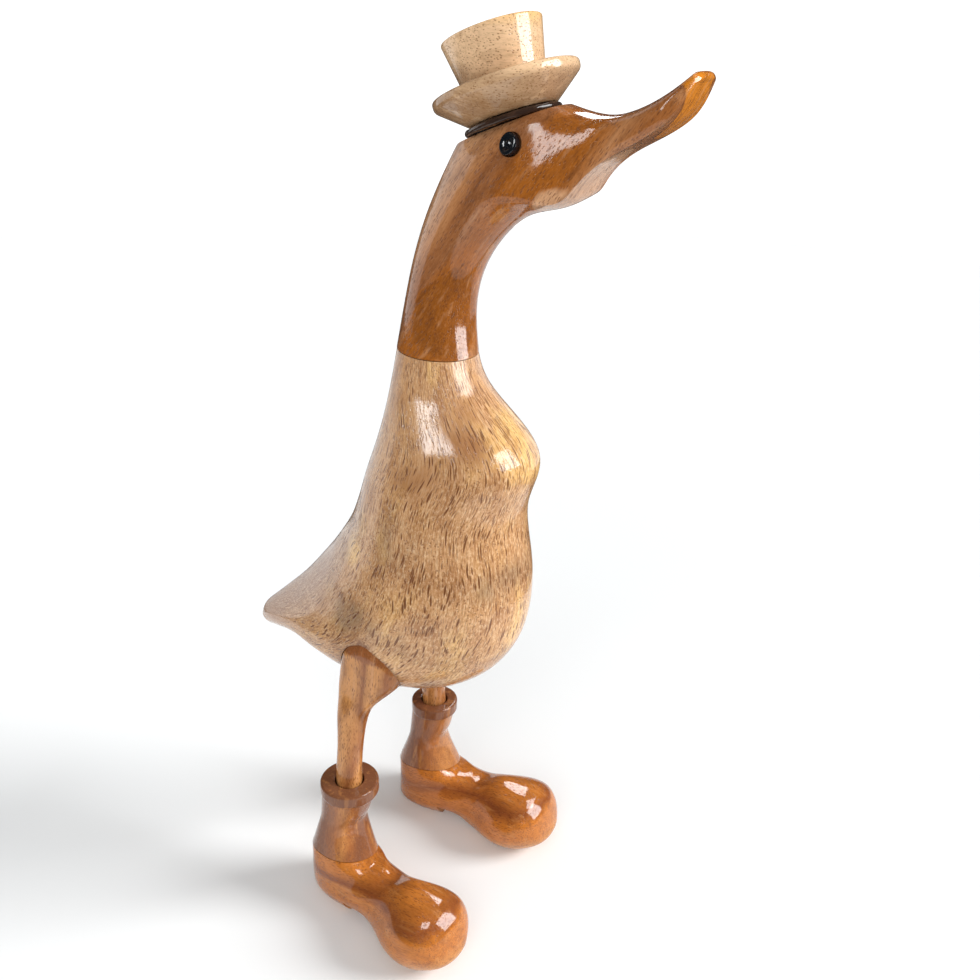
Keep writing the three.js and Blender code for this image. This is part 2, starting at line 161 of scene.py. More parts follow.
BOOTS = {
    "right": dict(x=-36.4, y=-31.1, yaw=-10, width=0.96, rim=1.01, lean=-1.1, setback=0.9),
    "left": dict(x=-39.4, y=29.6, yaw=1.4, width=1.04, rim=0.88, lean=2.9, setback=0.7),
}
SIDES = {"right": -1, "left": 1}

# Leg ribs: centre x, centre y, z, half length, half breadth, squareness
LEG_FLOOR = RIM_HEIGHT - LEG_HOLE_DEPTH + GAP
LEG_TOP = 119.0
THIGH_DOME = 1.0
THIGH_RINGS = 10
LEG_RIBS = [
    [-28.6, -24.6, 119, 5, 4.6, 2.4],
    [-28.3, -24.3, 116, 9.6, 5.6, 2.8],
    [-28.6, -24.2, 111, 12.4, 5.9, 3],
    [-29.8, -24, 104.5, 12.8, 6.1, 3],
    [-33, -24.3, 97.5, 10.4, 6.1, 2.8],
    [-35.6, -25.6, 91, 7.4, 5.9, 2.5],
    [-36.9, -27.2, 84, 5.8, 5.6, 2.2],
    [-36.6, -29.4, 73, 5, 5, 2],
    [-36.8, -30.5, 62, 5, 5, 2],
    [-36.4, -31.1, 55, 5, 5, 2],
    [-36.4, -31.1, LEG_FLOOR, 5, 5, 2],
]

# Grids: rings along a piece and columns round it, then the spacing of rings on turned pieces
BODY_GRID, HEAD_GRID, FOOT_GRID = (300, 220), (320, 200), (240, 160)
LEG_GRID, SHAFT_GRID = (150, 96), (90, 144)
HAT_COLUMNS, GLUE_COLUMNS, EYE_COLUMNS, FLOOR_COLUMNS = 192, 240, 96, 96
HAT_SPACING, EYE_SPACING, RIM_SPACING = 0.8, 0.12, 0.6
# Carving: least depth, seed, length of the hollows and share of the carving depth that is set
BODY_CARVING = (0.04, 3, 14, 1)
HEAD_CARVING = (0, 5, 12, 0.5)
FOOT_CARVING = (0.22, 7, 9, 0.6)
# Painted shade beside each thigh, as a share of its section, and the heights where a leg is painted darker
# with shade at its joint under the belly
THIGH_SHADE_WIDTH = 0.16
JOINT_LOW, JOINT_HIGH, JOINT_SHADE = 107, 117, 0.55
# Mean radius of the root, which makes its grain even
GRAIN_RADIUS = 25

# Wood: amplitude of the wandering fibres, the middle of a fleck, and the varnish
FIBRE_WANDER = (0, 7, 7)
FLECK_MIDDLE = 0.2
VARNISH_IOR = 1.5

# Grey clouds, painted shade and golden places in the root: x, y, z, radius, strength
# The clouds just above the near thigh are painted shade in the hollow there; the rest are grey clouds in the
# wood
ROOT_SMOKE_AND_SHADE = [
    [-18, -26, 163, 9, 0.7], [-36, -27, 127, 9, 1.0], [-44, -23, 128, 7, 0.8], [-27, -29, 126, 6, 0.6],
    [17, -8, 152, 6, 0.8], [13.5, -15, 150, 5, 0.7], [18, 1, 154, 6, 0.6], [-5.7, -20, 107, 6, 0.9],
    [-10, -28.5, 125, 6, 0.5], [10, 22, 140, 12, 0.7], [-30, 27, 165, 10, 0.6], [-60, 18, 120, 9, 0.6],
]
# Brown places of painted shade in the chest and breast creases and along the tail ridge
ROOT_PAINTED_SHADE = [
    [2, -16, 202, 6, 0.9], [9, -15, 199, 6, 0.7], [-6, -23, 189, 7, 0.8], [-16, -23, 186, 6, 0.7],
    [1, -10, 211, 5, 0.6], [-24, -14, 210, 6, 0.5], [-34, -19, 172, 6, 0.6], [-45, -14, 158, 6, 0.6],
    [-48, -17, 148, 5, 0.8], [-50, -20, 133, 5, 0.8], [-57, -19, 124, 5, 0.7], [10, 16, 199, 9, 0.7],
    [-34, 19, 172, 8, 0.6], [-50, 20, 133, 7, 0.7],
]
# Golden places in the root; those at the front of the breast are painted light
ROOT_GOLD_AND_LIGHT = [
    [16.6, -1.2, 199.5, 10, 0.9], [13, 8.4, 201, 10, 0.9], [-53, -18.5, 130, 7, 0.4], [-39, -22, 164, 6, 0.9],
    [-42, -20, 152, 6, 0.9], [17, 6, 129, 14, 0.3], [-33, 18, 176, 10, 0.6],
]
# Dark amber tongue on the neck
HEAD_AMBER = [
    [-5, -7, 250, 6, 1], [-5, -4, 241, 8, 1], [-7, -7, 233, 8, 1], [-13, -12, 235, 5, 1],
    [-12, -12, 244, 5, 0.8],
]
# Orange facet under the bill tip, with painted light that makes it brighter than the amber of the head
BILL_TIP_AND_LIGHT = [
    [56, 4, 299, 5, 1], [61, 1, 304, 6, 1], [66, -1, 311, 6, 1], [66, -5, 311, 4, 0.8], [61, 9, 303, 6, 0.8],
]
# Pinkish places on the bare flat of the tail, partly a painted pale reflection, then painted light on the
# chin and throat
ROOT_BARE_AND_REFLECTION = [
    [x, side * y, z, radius, 1] for side in (-1, 1)
    for x, y, z, radius in ((-66, 8, 134, 15), (-82, 6, 120, 14), (-98, 3, 104, 13))
]
HEAD_PAINTED_LIGHT = [
    [34, 0, 281, 9, 1.0], [28, -9, 278, 6, 0.7], [44, -2, 289, 8, 0.7], [16, 0, 272, 8, 0.4],
    [4, -1, 262, 7, 0.35], [0, -1, 253, 6, 0.3],
]


# Sizes and colours

def length(name, description, default, low, high):
    return FloatProperty(
        name=name, description=description, default=default, min=low, max=high,
        subtype="DISTANCE", unit="LENGTH", precision=4,
    )


def colour(name, description, default):
    return FloatVectorProperty(
        name=name, description=description, default=default, min=0, max=1, size=3, subtype="COLOR",
    )


class DuckSizes(bpy.types.PropertyGroup):
    """Sizes that can change without moving the pieces"""

    crown_height: length("Crown height", "Height of the hat above its brim", CROWN_HEIGHT * MM, 0.008, 0.0141)
    brim_edge: length("Brim edge", "Thickness of the hat brim at its edge", BRIM_EDGE * MM, 0.0015, 0.004)
    eye_radius: length("Eye radius", "Half the width of a bead eye", EYE_RADIUS * MM, 0.0025, EYE_RADIUS * MM)
    glue_sag: length("Glue sag", "How much thicker the glue bead is at the back", 0.0010, 0, 0.0015)
    carving: length("Carving marks", "Depth of the hollows that the knife left", 0.00013, 0, 0.0006)


class DuckColours(bpy.types.PropertyGroup):
    """Colours of the woods under the varnish"""

    root: colour("Root", "Pale tan of the bamboo root", (0.60, 0.325, 0.15))
    # Root gold is also painted light on the front of the breast
    root_gold: colour("Root gold", "Golden parts of the root", (0.84, 0.51, 0.19))
    root_pale: colour("Root pale", "Pale flecks in the root", (0.90, 0.66, 0.42))
    root_mark: colour("Root marks", "Dark fibres and scars in the root", (0.15, 0.05, 0.018))
    # Root brown is also laid as painted shade in creases of the root
    root_brown: colour("Root brown", "Brown shade between the fibres of the root", (0.33, 0.14, 0.052))
    # The tail flat's pinkish colour is partly a painted pale reflection
    root_bare: colour("Root plane", "Pinkish flat of the tail", (0.47, 0.29, 0.20))
    # The clouds are also laid as painted shade over the near thigh
    root_smoke: colour("Root clouds", "Grey brown clouds in the root", (0.20, 0.14, 0.095))
    head: colour("Head", "Amber wood of the head", (0.37, 0.112, 0.013))
    head_dark: colour("Head bands", "Dark bands in the head", (0.32, 0.122, 0.042))
    head_pale: colour("Head streaks", "Light streaks in the head", (0.56, 0.29, 0.14))
    head_pore: colour("Head pores", "Pores and fine dark streaks in the head", (0.13, 0.042, 0.014))
    # The chin's pale colour is painted light: the floor's bounce and its reflection
    chin: colour("Chin", "Pale wood under the bill", (0.66, 0.36, 0.19))
    # The bill tip's orange is made brighter with painted light
    bill: colour("Bill tip", "Orange wood at the tip of the bill", (0.70, 0.23, 0.015))
    # The hat colour, darker than the crown, is painted shade under the brim
    hat: colour("Hat", "Straw wood of the hat", (0.35, 0.20, 0.10))
    crown: colour("Crown", "Paler wood of the crown", (0.84, 0.57, 0.34))
    hat_fleck: colour("Hat flecks", "Brown flecks in the hat", (0.26, 0.12, 0.045))
    glue: colour("Glue", "Hardened glue under the hat", (0.030, 0.016, 0.011))
    eye: colour("Eye", "Bead eyes", (0.004, 0.006, 0.009))
    leg: colour("Leg", "Honey wood of the legs", (0.60, 0.27, 0.085))
    leg_dark: colour("Leg bands", "Darker bands in the legs", (0.30, 0.10, 0.03))
    shaft: colour("Boot shaft", "Reddish brown wood of the boot shafts", (0.36, 0.13, 0.042))
    shaft_dark: colour("Boot shaft bands", "Dark bands in the boot shafts", (0.20, 0.075, 0.035))
    foot: colour("Boot foot", "Orange brown wood of the boots", (0.54, 0.175, 0.027))
    foot_dark: colour("Boot foot bands", "Red brown bands in the boots", (0.26, 0.07, 0.018))


# Shapes

def natural_spline(rows, places):
    """Natural cubic spline through equally spaced rows, worked out at the places given in rows."""
    rows = np.asarray(rows, float)
    last = len(rows) - 1
    inner = last - 1
    bends = np.zeros_like(rows)
    system = 4 * np.eye(inner) + np.eye(inner, k=1) + np.eye(inner, k=-1)
    bends[1:-1] = np.linalg.solve(system, 6 * np.diff(rows, 2, axis=0))
    low = np.clip(np.floor(places).astype(int), 0, last - 1)
    f = (places - low)[:, None]
    g = 1 - f
    curved = (g ** 3 - g) * bends[low] + (f ** 3 - f) * bends[low + 1]
    return g * rows[low] + f * rows[low + 1] + curved / 6


def rounded_power(value, power):
    """The value's sign times its size to the power 2 / power, which squares or points a circle."""
    return np.sign(value) * np.abs(value) ** (2 / power)


def smooth(low, high, value):
    """0 below low, 1 above high and a smooth cubic step between."""
    t = np.clip((value - low) / (high - low), 0, 1)
    return t * t * (3 - 2 * t)


def turns(columns):
    """Angles once round a section, from the back through the front at 0, to the back again."""
    return np.pi * (2 * np.arange(columns) / columns - 1)


def carved(ribs, angle):
    """Outline of each body or head rib.

    Along the rib the outline goes as the cosine, and across it as the sine times the half width,
    each to 2 over the rib's power. The front is planed off beyond the chin corner, the egg term
    widens the section towards the front, and the ridge term adds a crease beside the back.
    """
    columns = (column[:, None] for column in ribs.T)
    back_x, back_z, front_x, front_z, half, egg, back_power, flat, ridge = columns
    flat = np.clip(flat, 0, 1)
    power = np.where(np.cos(angle)[None] > 0, 2.0, back_power)
    corner = math.cos(math.radians(CHIN_CORNER))
    side = rounded_power(np.sin(angle)[None], power)
    along = rounded_power(np.cos(angle)[None], power)
    along = along - flat * np.maximum(along - corner, 0)
    along = 2 * (along + 1) / (2 - flat * (1 - corner)) - 1
    off_ridge = np.abs(np.abs(np.degrees(angle))[None] - RIDGE_ANGLE)
    crease = ridge * np.exp(-off_ridge / RIDGE_SPREAD) * np.sign(side)
    return np.stack([
        (back_x + front_x) / 2 + (front_x - back_x) / 2 * along,
        half * side * (1 + egg * along) + crease,
        (back_z + front_z) / 2 + (front_z - back_z) / 2 * along,
    ], -1)


def booted(ribs, angle, boot):
    """Outline of each boot rib, a squared ellipse cut off flat beyond the sole angle.

    Widths go from the foot's to the rim's above the ankle, and the foot leans and sets back
    below the rim in proportion to the depth.
    """
    back_x, back_z, front_x, front_z, half, sole, bank = (column[:, None] for column in ribs.T)
    corner = np.cos(np.radians(np.clip(sole, 0, 60)))
    side = rounded_power(np.sin(angle)[None], BOOT_SQUARE)
    cosine = np.maximum(rounded_power(np.cos(angle)[None], BOOT_SQUARE), -corner)
    along = 1 - 2 * (1 - cosine) / (1 + corner)
    z = (back_z + front_z) / 2 + (front_z - back_z) / 2 * along
    x = (back_x + front_x) / 2 + (front_x - back_x) / 2 * along
    raised = np.clip((z - ANKLE_HEIGHT) / (RIM_HEIGHT - ANKLE_HEIGHT), 0, 1)
    below = np.clip(1 - z / RIM_HEIGHT, 0, 1)
    y = half * side * (boot["width"] + (boot["rim"] - boot["width"]) * raised)
    level = z + bank * y
    level = np.where(level > SOLE_SANDED, level, 0)
    return np.stack([
        x * (1 + (boot["rim"] - 1) * raised) - boot["setback"] * below,
        y + boot["lean"] * below,
        level,
    ], -1)


def sections(ribs, angle):
    """Outline of each leg rib, level squared ellipses."""
    x, y, z, half_x, half_y, square = (column[:, None] for column in ribs.T)
    across = x + half_x * rounded_power(np.cos(angle)[None], square)
    beside = y + half_y * rounded_power(np.sin(angle)[None], square)
    return np.stack([across, beside, z + 0 * across], -1)


def domed(rings, height, steps, start=0.0):
    """Adds rings that shrink as a cosine while they rise as a sine, and returns them with the pole.

    Both start at an angle in degrees, so that the dome can follow on from a skin that closes in.
    """
    end = rings[-1]
    centre = end.mean(0)
    quarter = len(end) // 4
    outward = np.cross(end[quarter] - centre, end[2 * quarter] - centre)
    outward /= np.linalg.norm(outward)
    if outward @ (rings[-2].mean(0) - centre) > 0:
        outward = -outward
    first = math.radians(start)
    turn = (first + (np.pi / 2 - first) * np.arange(1, steps) / steps)[:, None, None]
    rise = height * (np.sin(turn) - math.sin(first)) / (1 - math.sin(first))
    extra = centre + (end - centre) * np.cos(turn) / math.cos(first) + outward * rise
    return np.concatenate([rings, extra]), centre + outward * height


def turned_rings(profile, columns):
    """Profile of radius and height pairs turned round the z axis, one ring for each pair."""
    angle = turns(columns)
    radius, height = profile.T[..., None]
    return np.stack([radius * np.cos(angle), radius * np.sin(angle), height + 0 * angle], -1)


def eased(profile, cuts, steps=6):
    """Rounds each inner corner with a parabola that starts and ends the given cut away from it."""
    profile = np.asarray(profile, float)
    before, corner, after = profile[:-2], profile[1:-1], profile[2:]
    cut = np.asarray(cuts, float)[:, None]
    start = corner + (before - corner) / np.linalg.norm(before - corner, axis=1)[:, None] * cut
    end = corner + (after - corner) / np.linalg.norm(after - corner, axis=1)[:, None] * cut
    t = np.linspace(0, 1, steps)[None, :, None]
    arcs = (1 - t) ** 2 * start[:, None] + 2 * t * (1 - t) * corner[:, None] + t ** 2 * end[:, None]
    return np.concatenate([profile[:1], arcs.reshape(-1, 2), profile[-1:]])


def dense(profile, spacing):
    """Points every spacing or closer along a polyline, with its corners kept."""
    lengths = np.linalg.norm(np.diff(profile, axis=0), axis=1)
    counts = np.maximum(np.ceil(lengths / spacing), 1).astype(int)
    starts = np.repeat(profile[:-1], counts, axis=0)
    steps = np.repeat(np.diff(profile, axis=0), counts, axis=0)
    place = np.arange(counts.sum()) - np.repeat(np.cumsum(counts) - counts, counts)
    share = place / np.repeat(counts, counts)
    return np.concatenate([starts + steps * share[:, None], profile[-1:]])


def turn_about(axis, degrees_turned, points):
    """Points turned about a coordinate axis through the origin."""
    return points @ np.array(Matrix.Rotation(math.radians(degrees_turned), 3, axis)).T


def hat_space(points):
    """From the hat's own frame, with its axis along z, to the duck."""
    return turn_about("Y", -HAT_TILT, points) + HAT_PLACE


def eye_space(points, side):
    """From an eye's own frame, with its rim at z = 0, to the duck."""
    lean = math.radians(EYE_LEAN)
    outward = np.array([0, side * math.cos(lean), math.sin(lean)])
    turned = turn_about("X", side * (EYE_LEAN - 90), points)
    return turn_about("Z", side * EYE_BACK, turned + outward * EYE_PROUD) + EYE_PLACE * [1, side, 1]


def boot_space(points, boot):
    """From a boot's own frame, with the leg hole over the origin, to the duck."""
    return turn_about("Z", boot["yaw"], points) + [boot["x"], boot["y"], 0]


def lifted(rib, rise):
    """Body, head or boot rib raised by a distance."""
    return [value + rise if place in (1, 3) else value for place, value in enumerate(rib)]


def arc_lengths(rings):
    """Distance along the middle of the rings from the first one to each."""
    steps = np.linalg.norm(np.diff(rings.mean(1), axis=0), axis=1)
    return np.concatenate([[0], np.cumsum(steps)])


def hollows(points, seed, size):
    """Smooth unevenness from 0 to 1, the mean of six sine waves in random directions about size long."""
    random = np.random.default_rng(seed)
    waves = random.normal(size=(6, 3))
    waves *= 2 * np.pi / (size * np.linalg.norm(waves, axis=1)[:, None])
    phase = random.uniform(0, 2 * np.pi, 6)
    return 0.5 + 0.5 * np.sin(points @ waves.T + phase).mean(-1)


def carving_depth(rings, least, seed, size, share):
    """The least depth plus the hollows times a share of the carving depth that is set."""
    return least + hollows(rings, seed, size) * sizes().carving / MM * share


def sunk(rings, depth):
    """Rings moved inwards by a depth at each point, along the normal of the grid."""
    along = np.gradient(rings, axis=0)
    around = np.roll(rings, -1, axis=1) - np.roll(rings, 1, axis=1)
    normal = np.cross(along, around)
    size = np.linalg.norm(normal, axis=-1, keepdims=True)
    normal = normal / np.maximum(size, 1e-9)
    outward = rings - rings.mean(1, keepdims=True)
    normal *= np.sign((normal * outward).sum(-1).mean())
    return rings - normal * depth[..., None]


# Meshes

def beside_legs(points):
    """1 against a leg's skin and fading away from it, from how far out a point is in the leg's section."""
    ribs = np.array(LEG_RIBS)[::-1]
    columns = (np.interp(points[:, 2], ribs[:, 2], ribs[:, k]) for k in (0, 1, 3, 4, 5))
    x, y, half_x, half_y, square = columns
    along = np.abs(points[:, 0] - x) / half_x
    across = (np.abs(points[:, 1]) - np.abs(y)) / half_y
    out = (along ** square + np.abs(across) ** square) ** (1 / square)
    return np.exp(-((out - 1) / THIGH_SHADE_WIDTH) ** 2) * (points[:, 2] < LEG_TOP + 2)


def spots(points, marks):
    """Sum of soft round spots, each the strength times the bell curve of the distance over the radius.

    Marks are x, y, z, radius and strength.
    """
    total = np.zeros(len(points))
    for x, y, z, radius, strength in marks:
        distance = ((points - [x, y, z]) ** 2).sum(1)
        total += strength * np.exp(-distance / radius ** 2)
    return np.clip(total, 0, 1)


def skin(rings, first_pole=None, last_pole=None):
    """Closed skin over rings of points, with a fan to a pole at each end."""
    rows, columns = rings.shape[:2]
    first_pole = rings[0].mean(0) if first_pole is None else first_pole
    last_pole = rings[-1].mean(0) if last_pole is None else last_pole
    points = np.concatenate([rings.reshape(-1, 3), [first_pole, last_pole]])
    at = np.arange(rows * columns).reshape(rows, columns)
    beside = np.roll(at, -1, axis=1)
    quads = np.stack([at[:-1], at[1:], beside[1:], beside[:-1]], -1).reshape(-1, 4)
    first = np.full(columns, rows * columns)
    caps = np.concatenate([
        np.stack([first, at[0], beside[0]], -1),
        np.stack([first + 1, beside[-1], at[-1]], -1),
    ])
    a, b, c = (points[np.concatenate([quads[:, k], caps[:, k]])] for k in range(3))
    d, e, f = (points[quads[:, k]] for k in (0, 2, 3))
    volume = (a * np.cross(b, c)).sum() + (d * np.cross(e, f)).sum()
    if volume < 0:
        quads, caps = quads[:, ::-1], caps[:, ::-1]
    return points, quads, caps


def linked(name, data):
    """New object in the scene that holds a mesh, light or camera."""
    item = bpy.data.objects.new(name, data)
    bpy.context.scene.collection.objects.link(item)
    return item


def new_object(name, shape, fields=None, sharp=40.0):
    """Object with its mesh in place in metres. A field is a value or vector for each vertex."""
    points, quads, caps = shape
    mesh = bpy.data.meshes.new(name)
    corners = np.concatenate([quads.ravel(), caps.ravel()]).astype(np.int32)
    starts = np.concatenate([np.arange(len(quads)) * 4, len(quads) * 4 + np.arange(len(caps)) * 3])
    mesh.vertices.add(len(points))
    mesh.vertices.foreach_set("co", ((points + PLACE) * MM).astype(np.float32).ravel())
    mesh.loops.add(len(corners))
    mesh.loops.foreach_set("vertex_index", corners)
    mesh.polygons.add(len(starts))
    mesh.polygons.foreach_set("loop_start", starts.astype(np.int32))
    mesh.update(calc_edges=True)
    for key, values in (fields or {}).items():
        kind, slot = ("FLOAT_VECTOR", "vector") if values.ndim > 1 else ("FLOAT", "value")
        attribute = mesh.attributes.new(key, kind, "CORNER")
        attribute.data.foreach_set(slot, values[corners].astype(np.float32).ravel())
    piece = linked(name, mesh)
    shade(piece, sharp)
    return piece


def shade(piece, sharp):
    piece.data.shade_smooth()
    piece.data.set_sharp_from_angle(angle=math.radians(sharp))


def cut_away(piece, cutters, sharp=40.0):
    """Cuts closed objects out of a piece and removes them."""
    for cutter in cutters:
        change = piece.modifiers.new("cut", "BOOLEAN")
        change.operation = "DIFFERENCE"
        change.solver = "EXACT"
        change.object = cutter
    depsgraph = bpy.context.evaluated_depsgraph_get()
    result = bpy.data.meshes.new_from_object(piece.evaluated_get(depsgraph), depsgraph=depsgraph)
    piece.modifiers.clear()
    old = piece.data
    piece.data = result
    bpy.data.meshes.remove(old)
    for cutter in cutters:
        bpy.data.meshes.remove(cutter.data)
    if len(result.polygons) == 0:
        raise RuntimeError(f"the cut left nothing of {piece.name}")
    result.name = piece.name
    shade(piece, sharp)


def finish_piece(piece, node, material):
    """Puts the finish on a piece and lets it stand for its solid."""
    piece.data.materials.clear()
    piece.data.materials.append(material)
    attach(piece, "root")
    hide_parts(node)


# Finishes

def maths(operation, reflected=False):
    """Method that adds a Math node on a tone and another value, swapped where it is reflected."""
    def method(tone, other):
        first, second = (other, tone) if reflected else (tone, other)
        return tone.finish.add("Math", {"operation": operation}, {0: first, 1: second})
    return method


class Tone:
    """An output of a shader node. An expression on it adds its Math nodes."""

    def __init__(self, finish, socket):
        self.finish = finish
        self.socket = socket

    __add__ = __radd__ = maths("ADD")
    __sub__, __rsub__ = maths("SUBTRACT"), maths("SUBTRACT", True)
    __mul__ = __rmul__ = maths("MULTIPLY")
    __truediv__, __rtruediv__ = maths("DIVIDE"), maths("DIVIDE", True)
    most = maths("MAXIMUM")


class Finish:
    """A material, or the studio's world, and the nodes that are added to it."""

    def __init__(self, owner):
        owner.use_nodes = True
        self.owner = owner
        self.tree = owner.node_tree
        self.tree.nodes.clear()

    def add(self, kind, settings=None, values=None, output=0):
        """Node with its settings made first, then its sockets set or linked, and one of its outputs."""
        node = self.tree.nodes.new("ShaderNode" + kind)
        for key, value in (settings or {}).items():
            if key == "stops":
                set_stops(node.color_ramp.elements, value)
            else:
                setattr(node, key, value)
        for key, value in (values or {}).items():
            if isinstance(value, Tone):
                self.tree.links.new(value.socket, node.inputs[key])
            else:
                node.inputs[key].default_value = value
        return None if output is None else Tone(self, node.outputs[output])

    def place(self):
        return self.add("TexCoord", output="Object")

    def field(self, name, output="Fac"):
        return self.add("Attribute", {"attribute_name": name}, output=output)

    def stretched(self, vector, size, turn=(0, 0, 0), move=(0, 0, 0)):
        """Vector in units that are a size long, after it is turned by degrees."""
        turned = [math.radians(t) for t in turn]
        values = {"Vector": vector, "Scale": size, "Rotation": turned, "Location": move}
        return self.add("Mapping", {"vector_type": "TEXTURE"}, values)

    def noise(self, vector, size, detail=2.0, roughness=0.5, move=(0, 0, 0), output="Fac"):
        """Clouds of a size from 0 to 1."""
        vector = self.stretched(vector, size, move=move)
        values = {"Vector": vector, "Scale": 1.0, "Detail": detail, "Roughness": roughness}
        return self.add("TexNoise", None, values, output)

    def flecks(self, vector, size, reach=0.34, move=(0, 0, 0)):
        """1 in the middle of scattered flecks of a size and 0 beyond a reach from it."""
        values = {"Vector": self.stretched(vector, size, move=move), "Scale": 1.0}
        return self.step(self.add("TexVoronoi", None, values, "Distance"), reach, FLECK_MIDDLE)

    def step(self, value, low, high):
        """0 at low, 1 at high and a smooth step between, also where low is the greater."""
        values = {"Value": value, "From Min": low, "From Max": high}
        return self.add("MapRange", {"interpolation_type": "SMOOTHSTEP"}, values)

    def even(self, value, low, high, first, second):
        """First at low, second at high and a straight line between."""
        values = {"Value": value, "From Min": low, "From Max": high, "To Min": first, "To Max": second}
        return self.add("MapRange", None, values)

    def mix(self, factor, first, second):
        first, second = (c if isinstance(c, Tone) else (*c, 1) for c in (first, second))
        return self.add("Mix", {"data_type": "RGBA"}, {0: factor, 6: first, 7: second}, 2)

    def laid(self, tone, layers):
        """Tone with colours laid over it in turn, each by a mask, its low and high, and a strength."""
        for mask, low, high, strength, over in layers:
            tone = self.mix(self.step(mask, low, high) * strength, tone, over)
        return tone

    def bump(self, height, distance, strength=1.0, normal=None):
        values = {"Height": height, "Distance": distance, "Strength": strength}
        if normal is not None:
            values["Normal"] = normal
        return self.add("Bump", None, values)

    def varnish(self, tone, roughness, normal):
        """Closes the tree with one glossy shader."""
        values = {"Base Color": tone, "Roughness": roughness, "Normal": normal, "IOR": VARNISH_IOR}
        return self.close("OutputMaterial", self.add("BsdfPrincipled", None, values))

    def close(self, kind, shader):
        self.add(kind, None, {"Surface": shader}, None)
        return self.owner


def set_stops(points, stops):
    """Gives a ramp its stops of place and colour."""
    while len(points) < len(stops):
        points.new(0.5)
    for point, (at, tone) in zip(points, stops):
        point.position = at
        point.color = (*tone, 1)


def root_finish(c):
    """Bamboo root: tan, with dark fibres seen side on as dashes and end on as dots."""
    f = Finish(bpy.data.materials.new("root_wood"))
    grain = f.field("grain", "Vector")
    cloud = f.noise(grain, (24, 8, 8), 4, 0.6)
    patch = f.noise(grain, (15, 6, 6), move=(40, 0, 0))
    other_patch = f.noise(grain, (11, 8, 8), move=(90, 0, 0))
    grit = f.noise(grain, (1.4, 0.5, 0.5), 3, 0.72)
    fibre = f.noise(grain, (8, 0.42, 0.42), 3, 0.6)
    wander = f.noise(grain, (26, 12, 12), 1, output="Color")
    wandering = {0: wander, 1: FIBRE_WANDER, 2: grain}
    bent = f.add("VectorMath", {"operation": "MULTIPLY_ADD"}, wandering, "Vector")
    hatch = f.flecks(bent, (4.5, 0.62, 0.62), move=(3, 0, 0))
    long_dash = f.flecks(bent, (11, 0.9, 0.9), 0.31) * f.step(patch, 0.40, 0.5)
    short_dash = f.flecks(bent, (5.5, 0.7, 0.7), 0.33, move=(7, 0, 0)) * f.step(other_patch, 0.40, 0.5)
    dots = f.flecks(grain, (1.1, 0.95, 0.95)) * f.step(patch, 0.5, 0.4)
    bare = f.field("bare")
    marks = long_dash.most(short_dash * 0.8).most((dots * 0.6).most(hatch * 0.45)) * (1 - 0.7 * bare)
    # Golden places, with painted light on the front of the breast
    tone = f.mix(f.step(cloud + f.field("gold") * 0.6, 0.48, 0.85), c.root, c.root_gold)
    tone = f.laid(tone, [(other_patch, 0.46, 0.7, 0.55, c.root_brown)])
    # Pinkish flat of the tail, partly painted reflection
    tone = f.mix(bare, tone, c.root_bare)
    tone = f.laid(tone, [
        (grit, 0.50, 0.66, 0.5, c.root_pale),
        (grit, 0.50, 0.34, 0.55, c.root_brown),
        (fibre, 0.51, 0.68, 0.55, c.root_brown),
        (fibre, 0.47, 0.34, 0.25, c.root_pale),
        # Painted shade in the creases
        (grit + cloud, 0.7, 1.15, f.field("shade") * 0.9, c.root_brown),
        # Grey clouds, with painted shade over the near thigh
        (cloud, 0.25, 0.6, f.field("smoke") * 0.6, c.root_smoke),
    ])
    tone = f.mix(marks * 0.9, tone, c.root_mark)
    # Painted shade beside each thigh
    tone = f.mix(f.field("groove") * 0.7, tone, c.root_mark)
    normal = f.bump(grit * 0.3 + fibre * 0.2 - marks, 0.00007)
    return f.varnish(tone, 0.05 + 0.06 * grit, normal)


